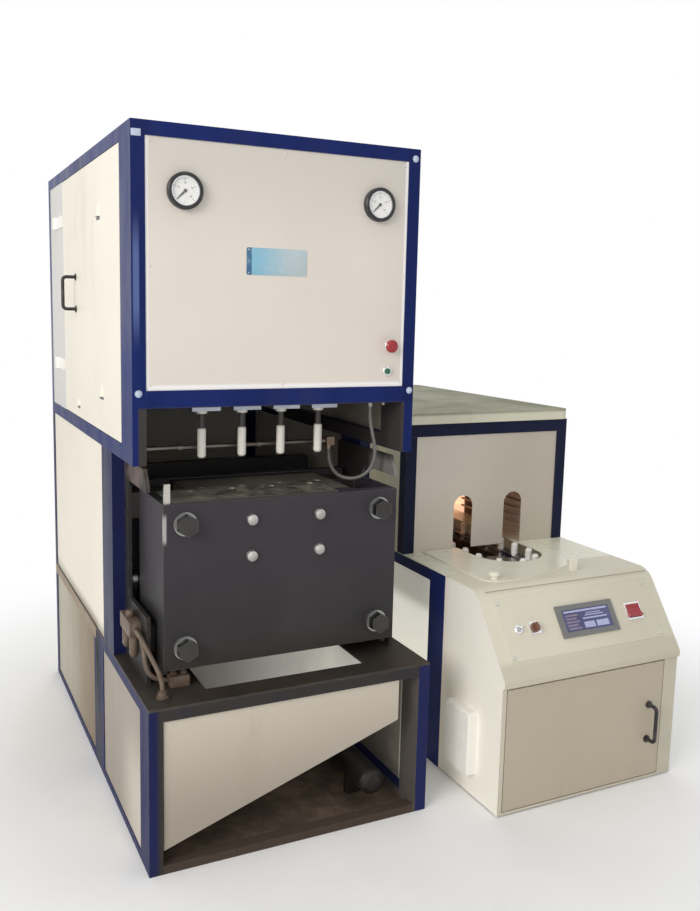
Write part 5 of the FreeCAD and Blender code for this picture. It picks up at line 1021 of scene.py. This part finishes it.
def make_deck_fittings():
    """A low valve block and its second pipe on the table's left front corner."""
    brown = OWN_FINISH["service_unit"]
    block = Form(facing_up(TABLE_TOP))
    block.loft(soft_rectangle(98, 158, -36, 18, 6, 0), soft_rectangle(98, 158, -36, 18, 6, 28),
               soft_rectangle(100, 156, -34, 16, 5, 31))
    for across in (114, 142):
        block.loft(ring(across, -9, 11, 31, 6), ring(across, -9, 11, 40, 6),
                   ring(across, -9, 7, 40.2, 24), ring(across, -9, 7, 46, 24),
                   ring(across, -9, 4, 47, 24))
    block.place("deck_valve", "machine", "gear_grey", brown)
    pipe = tube("deck_pipe", rounded_route(DECK_PIPE_ROUTE), DECK_PIPE_RADIUS)
    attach(pipe, "machine")
    pipe.data.materials.append(brown)


# Each vent's middle, foot, width and height; and a hood's profile from its mouth to its top, as
# shares of the height, levels, and shares of the width drawn in on each side.
VENTS = ((437, 1878, 56, 44), (416, 1314, 66, 40), (818, 1244, 50, 26))
HOOD_PROFILE = ((0.0, 9.0, 0.0), (0.35, 8.2, 0.03), (0.7, 5.6, 0.10), (0.92, 2.4, 0.22),
                (1.0, 0.6, 0.34))


def make_scoops():
    """Pressed hoods over the door's three vents, with black slabs in their mouths as painted shade.
    """
    hoods, mouths = Form(facing_left(0.0)), Form(facing_left(0.0))
    for across, low, wide, tall in VENTS:
        left, right = across - wide / 2, across + wide / 2
        rows = []
        for share, out, narrow in HOOD_PROFILE:
            up = low + tall * share
            pull = wide * narrow
            rows.append([(left + pull, up, 0.0), (left + pull + 3, up, out * 0.7),
                         (left + pull + 9, up, out), (right - pull - 9, up, out),
                         (right - pull - 3, up, out * 0.7), (right - pull, up, 0.0)])
        hoods.loft(*rows)
        # Painted shade: a black slab stands in for the shade inside each vent's mouth.
        mouths.slab(left + 3, right - 3, low - 11, low + 1, 4, 0.0, 0.6)
    hoods.place("door_vent_hoods", "side_door", "cream_sheet", OWN_FINISH["tower_panels"])
    mouths.place("door_vent_mouth_shade", "side_door", "black_plastic", MATERIALS["black_plastic"])


make_head_trim()
make_bolt_domes()
make_deck_fittings()
make_scoops()


# ---------------------------------------------------------------- the control desk

PLATE_FACE, SCREEN_LEVEL = 2.0, 7.0
SCREEN_STRENGTH = 0.42


def screen_paint(name):
    """A lit screen: a blue-violet ground that pales towards its lower right."""
    s = Shader(name)
    fade = s.along("x", HEATER_LEFT + 292, HEATER_LEFT + 492)
    cloud = s.noise(9.0, 3.0)
    tone = s.blend(fade, (0.085, 0.090, 0.200), (0.150, 0.160, 0.340))
    tone = s.blend(s.ramp(cloud, 0.4, 0.7, 0.0, 0.5), tone, (0.24, 0.25, 0.44))
    s.colour((0.03, 0.03, 0.06))
    s.set(Emission_Color=tone, Emission_Strength=SCREEN_STRENGTH,
          Roughness=s.patches(30.0, 3.0, 0.3, 0.7, 0.25, 0.35), Specular_IOR_Level=0.15)
    return s.material


def lit_ink(name, colour):
    s = Shader(name)
    s.colour(darker(colour, 0.4))
    s.set(Emission_Color=s.blend(s.patches(60.0, 3.0, 0.3, 0.7), darker(colour, 0.8), colour),
          Emission_Strength=SCREEN_STRENGTH,
          Roughness=s.patches(30.0, 3.0, 0.3, 0.7, 0.15, 0.25))
    return s.material


def make_screen():
    put = on_desk(SCREEN_LEVEL)
    Form(put).slab(292.5, 491.5, -179.5, -106.5, 1.5, 0.02, 0.5) \
        .place("screen_glass", "machine", "screen_grey", screen_paint("screen_lit"))
    pale, dim = Form(put), Form(put)
    pale.bar((300, -113), (484, -113), 6.5, 0.5, 0.56)
    for across, up, wide, tall in ((372, -163, 44, 20), (424, -163, 52, 20), (372, -141, 104, 5),
                                   (384, -131, 80, 3.5), (392, -124, 62, 3)):
        pale.slab(across, across + wide, up - tall / 2, up + tall / 2, 1.2, 0.5, 0.56)
    for row in range(5):
        up = -126 - row * 11
        dim.slab(302, 356 - row % 2 * 10, up - 3, up + 3, 1, 0.5, 0.56)
    pale.place("screen_blocks", "machine", "screen_grey",
               lit_ink("screen_pale", (0.52, 0.55, 0.82)))
    dim.place("screen_rows", "machine", "screen_grey",
              lit_ink("screen_dim", (0.30, 0.24, 0.34)))


def make_desk_screws():
    screws = Form(on_desk(PLATE_FACE))
    for across in (60, 680):
        for up in (-50, -230):
            screws.turned(across, up, ((8.5, 0), (8.5, 0.8), (6.2, 0.9), (6.0, 2.6),
                                       (4.6, 3.4)), 28)
    screws.place("desk_screws", "machine", "ground_steel",
                 bare_steel("nickel_screws", (0.62, 0.60, 0.54), 0.3))


def make_desk_seam():
    """Painted shadow: a dark bar along the seam between the desk's fold and its plate."""
    Form(on_desk(0.0)).bar((26, -7), (722, -7), 2.2, 0.0, 0.5) \
        .place("desk_seam", "machine", "cream_sheet",
               sheet_paint("seam_painted_shadow", (0.30, 0.27, 0.20), 0.6, specular=0.1))


make_screen()
make_desk_screws()
make_desk_seam()


# ---------------------------------------------------------------- floor and light

FLOOR_REACH, FLOOR_GAP, FLOOR_FADE = 14.0, 0.0005, (1.0, 2.4)
ROOM_STRENGTH = 0.50


def make_floor():
    """A pale floor that keeps the machine's shadow and turns white further away."""
    mesh = bpy.data.meshes.new("floor")
    far = FLOOR_REACH
    mesh.from_pydata([(-far, -far, 0), (far, -far, 0), (far, far, 0), (-far, far, 0)],
                     [], [(0, 1, 2, 3)])
    floor = add("floor", mesh)
    floor.location.z = -FLOOR_GAP
    s = Shader("pale_floor")
    speck = s.noise(3.0, 4.0)
    s.colour(s.blend(s.ramp(speck, 0.35, 0.7), (0.93, 0.93, 0.93), (0.96, 0.96, 0.96)))
    s.set(Roughness=0.9)
    glow = s.node("ShaderNodeEmission")
    glow.inputs["Color"].default_value = (1, 1, 1, 1)
    path = s.node("ShaderNodeLightPath")
    reach = s.node("ShaderNodeVectorMath", operation="LENGTH")
    s.link(s.place, reach.inputs[0])
    share = s.maths("MULTIPLY", path.outputs["Is Camera Ray"],
                    s.ramp(reach.outputs["Value"], *FLOOR_FADE))
    mix = s.node("ShaderNodeMixShader")
    s.link(share, mix.inputs[0])
    s.link(s.skin.outputs[0], mix.inputs[1])
    s.link(glow.outputs[0], mix.inputs[2])
    s.link(mix.outputs[0], s.output.inputs["Surface"])
    mesh.materials.append(s.material)


def make_world():
    world = bpy.data.worlds.new("studio")
    bpy.context.scene.world = world
    world.use_nodes = True
    nodes, links = world.node_tree.nodes, world.node_tree.links
    nodes.clear()
    output = nodes.new("ShaderNodeOutputWorld")
    room = nodes.new("ShaderNodeBackground")
    room.inputs["Color"].default_value = (1, 1, 1, 1)
    room.inputs["Strength"].default_value = ROOM_STRENGTH
    seen = nodes.new("ShaderNodeBackground")
    seen.inputs["Color"].default_value = (1, 1, 1, 1)
    mix = nodes.new("ShaderNodeMixShader")
    path = nodes.new("ShaderNodeLightPath")
    either = [path.outputs[name] for name in ("Is Camera Ray", "Is Glossy Ray",
                                              "Is Transmission Ray")]
    share, *others = either
    for ray in others:
        most = nodes.new("ShaderNodeMath")
        most.operation = "MAXIMUM"
        links.new(share, most.inputs[0])
        links.new(ray, most.inputs[1])
        share = most.outputs[0]
    links.new(share, mix.inputs[0])
    links.new(room.outputs[0], mix.inputs[1])
    links.new(seen.outputs[0], mix.inputs[2])
    links.new(mix.outputs[0], output.inputs["Surface"])


def area_light(name, place, aim, size, power, colour=(1, 1, 1)):
    """A square lamp that looks at a point, both in metres."""
    data = bpy.data.lights.new(name, "AREA")
    data.size = size
    data.energy = power
    data.color = colour
    lamp = add(name, data)
    lamp.location = place
    lamp.rotation_mode = "QUATERNION"
    lamp.rotation_quaternion = (Vector(aim) - Vector(place)).to_track_quat("-Z", "Y")


def light_room():
    make_world()
    area_light("key", (-7.0, -4.3, 4.2), (-0.3, -0.2, 1.0), 4.0, 385, (1.0, 0.975, 0.94))
    area_light("front", (-1.8, -4.9, 2.2), (0.1, 0.0, 0.8), 3.0, 14, (1.0, 0.985, 0.97))
    area_light("top", (0.4, -0.4, 4.8), (0, 0, 0), 3.0, 18)
    area_light("rear", (1.8, 5.4, 3.0), (0.0, 0.9, 1.0), 3.0, 70)


make_floor()
light_room()
bpy.context.scene.view_settings.view_transform = "Standard"
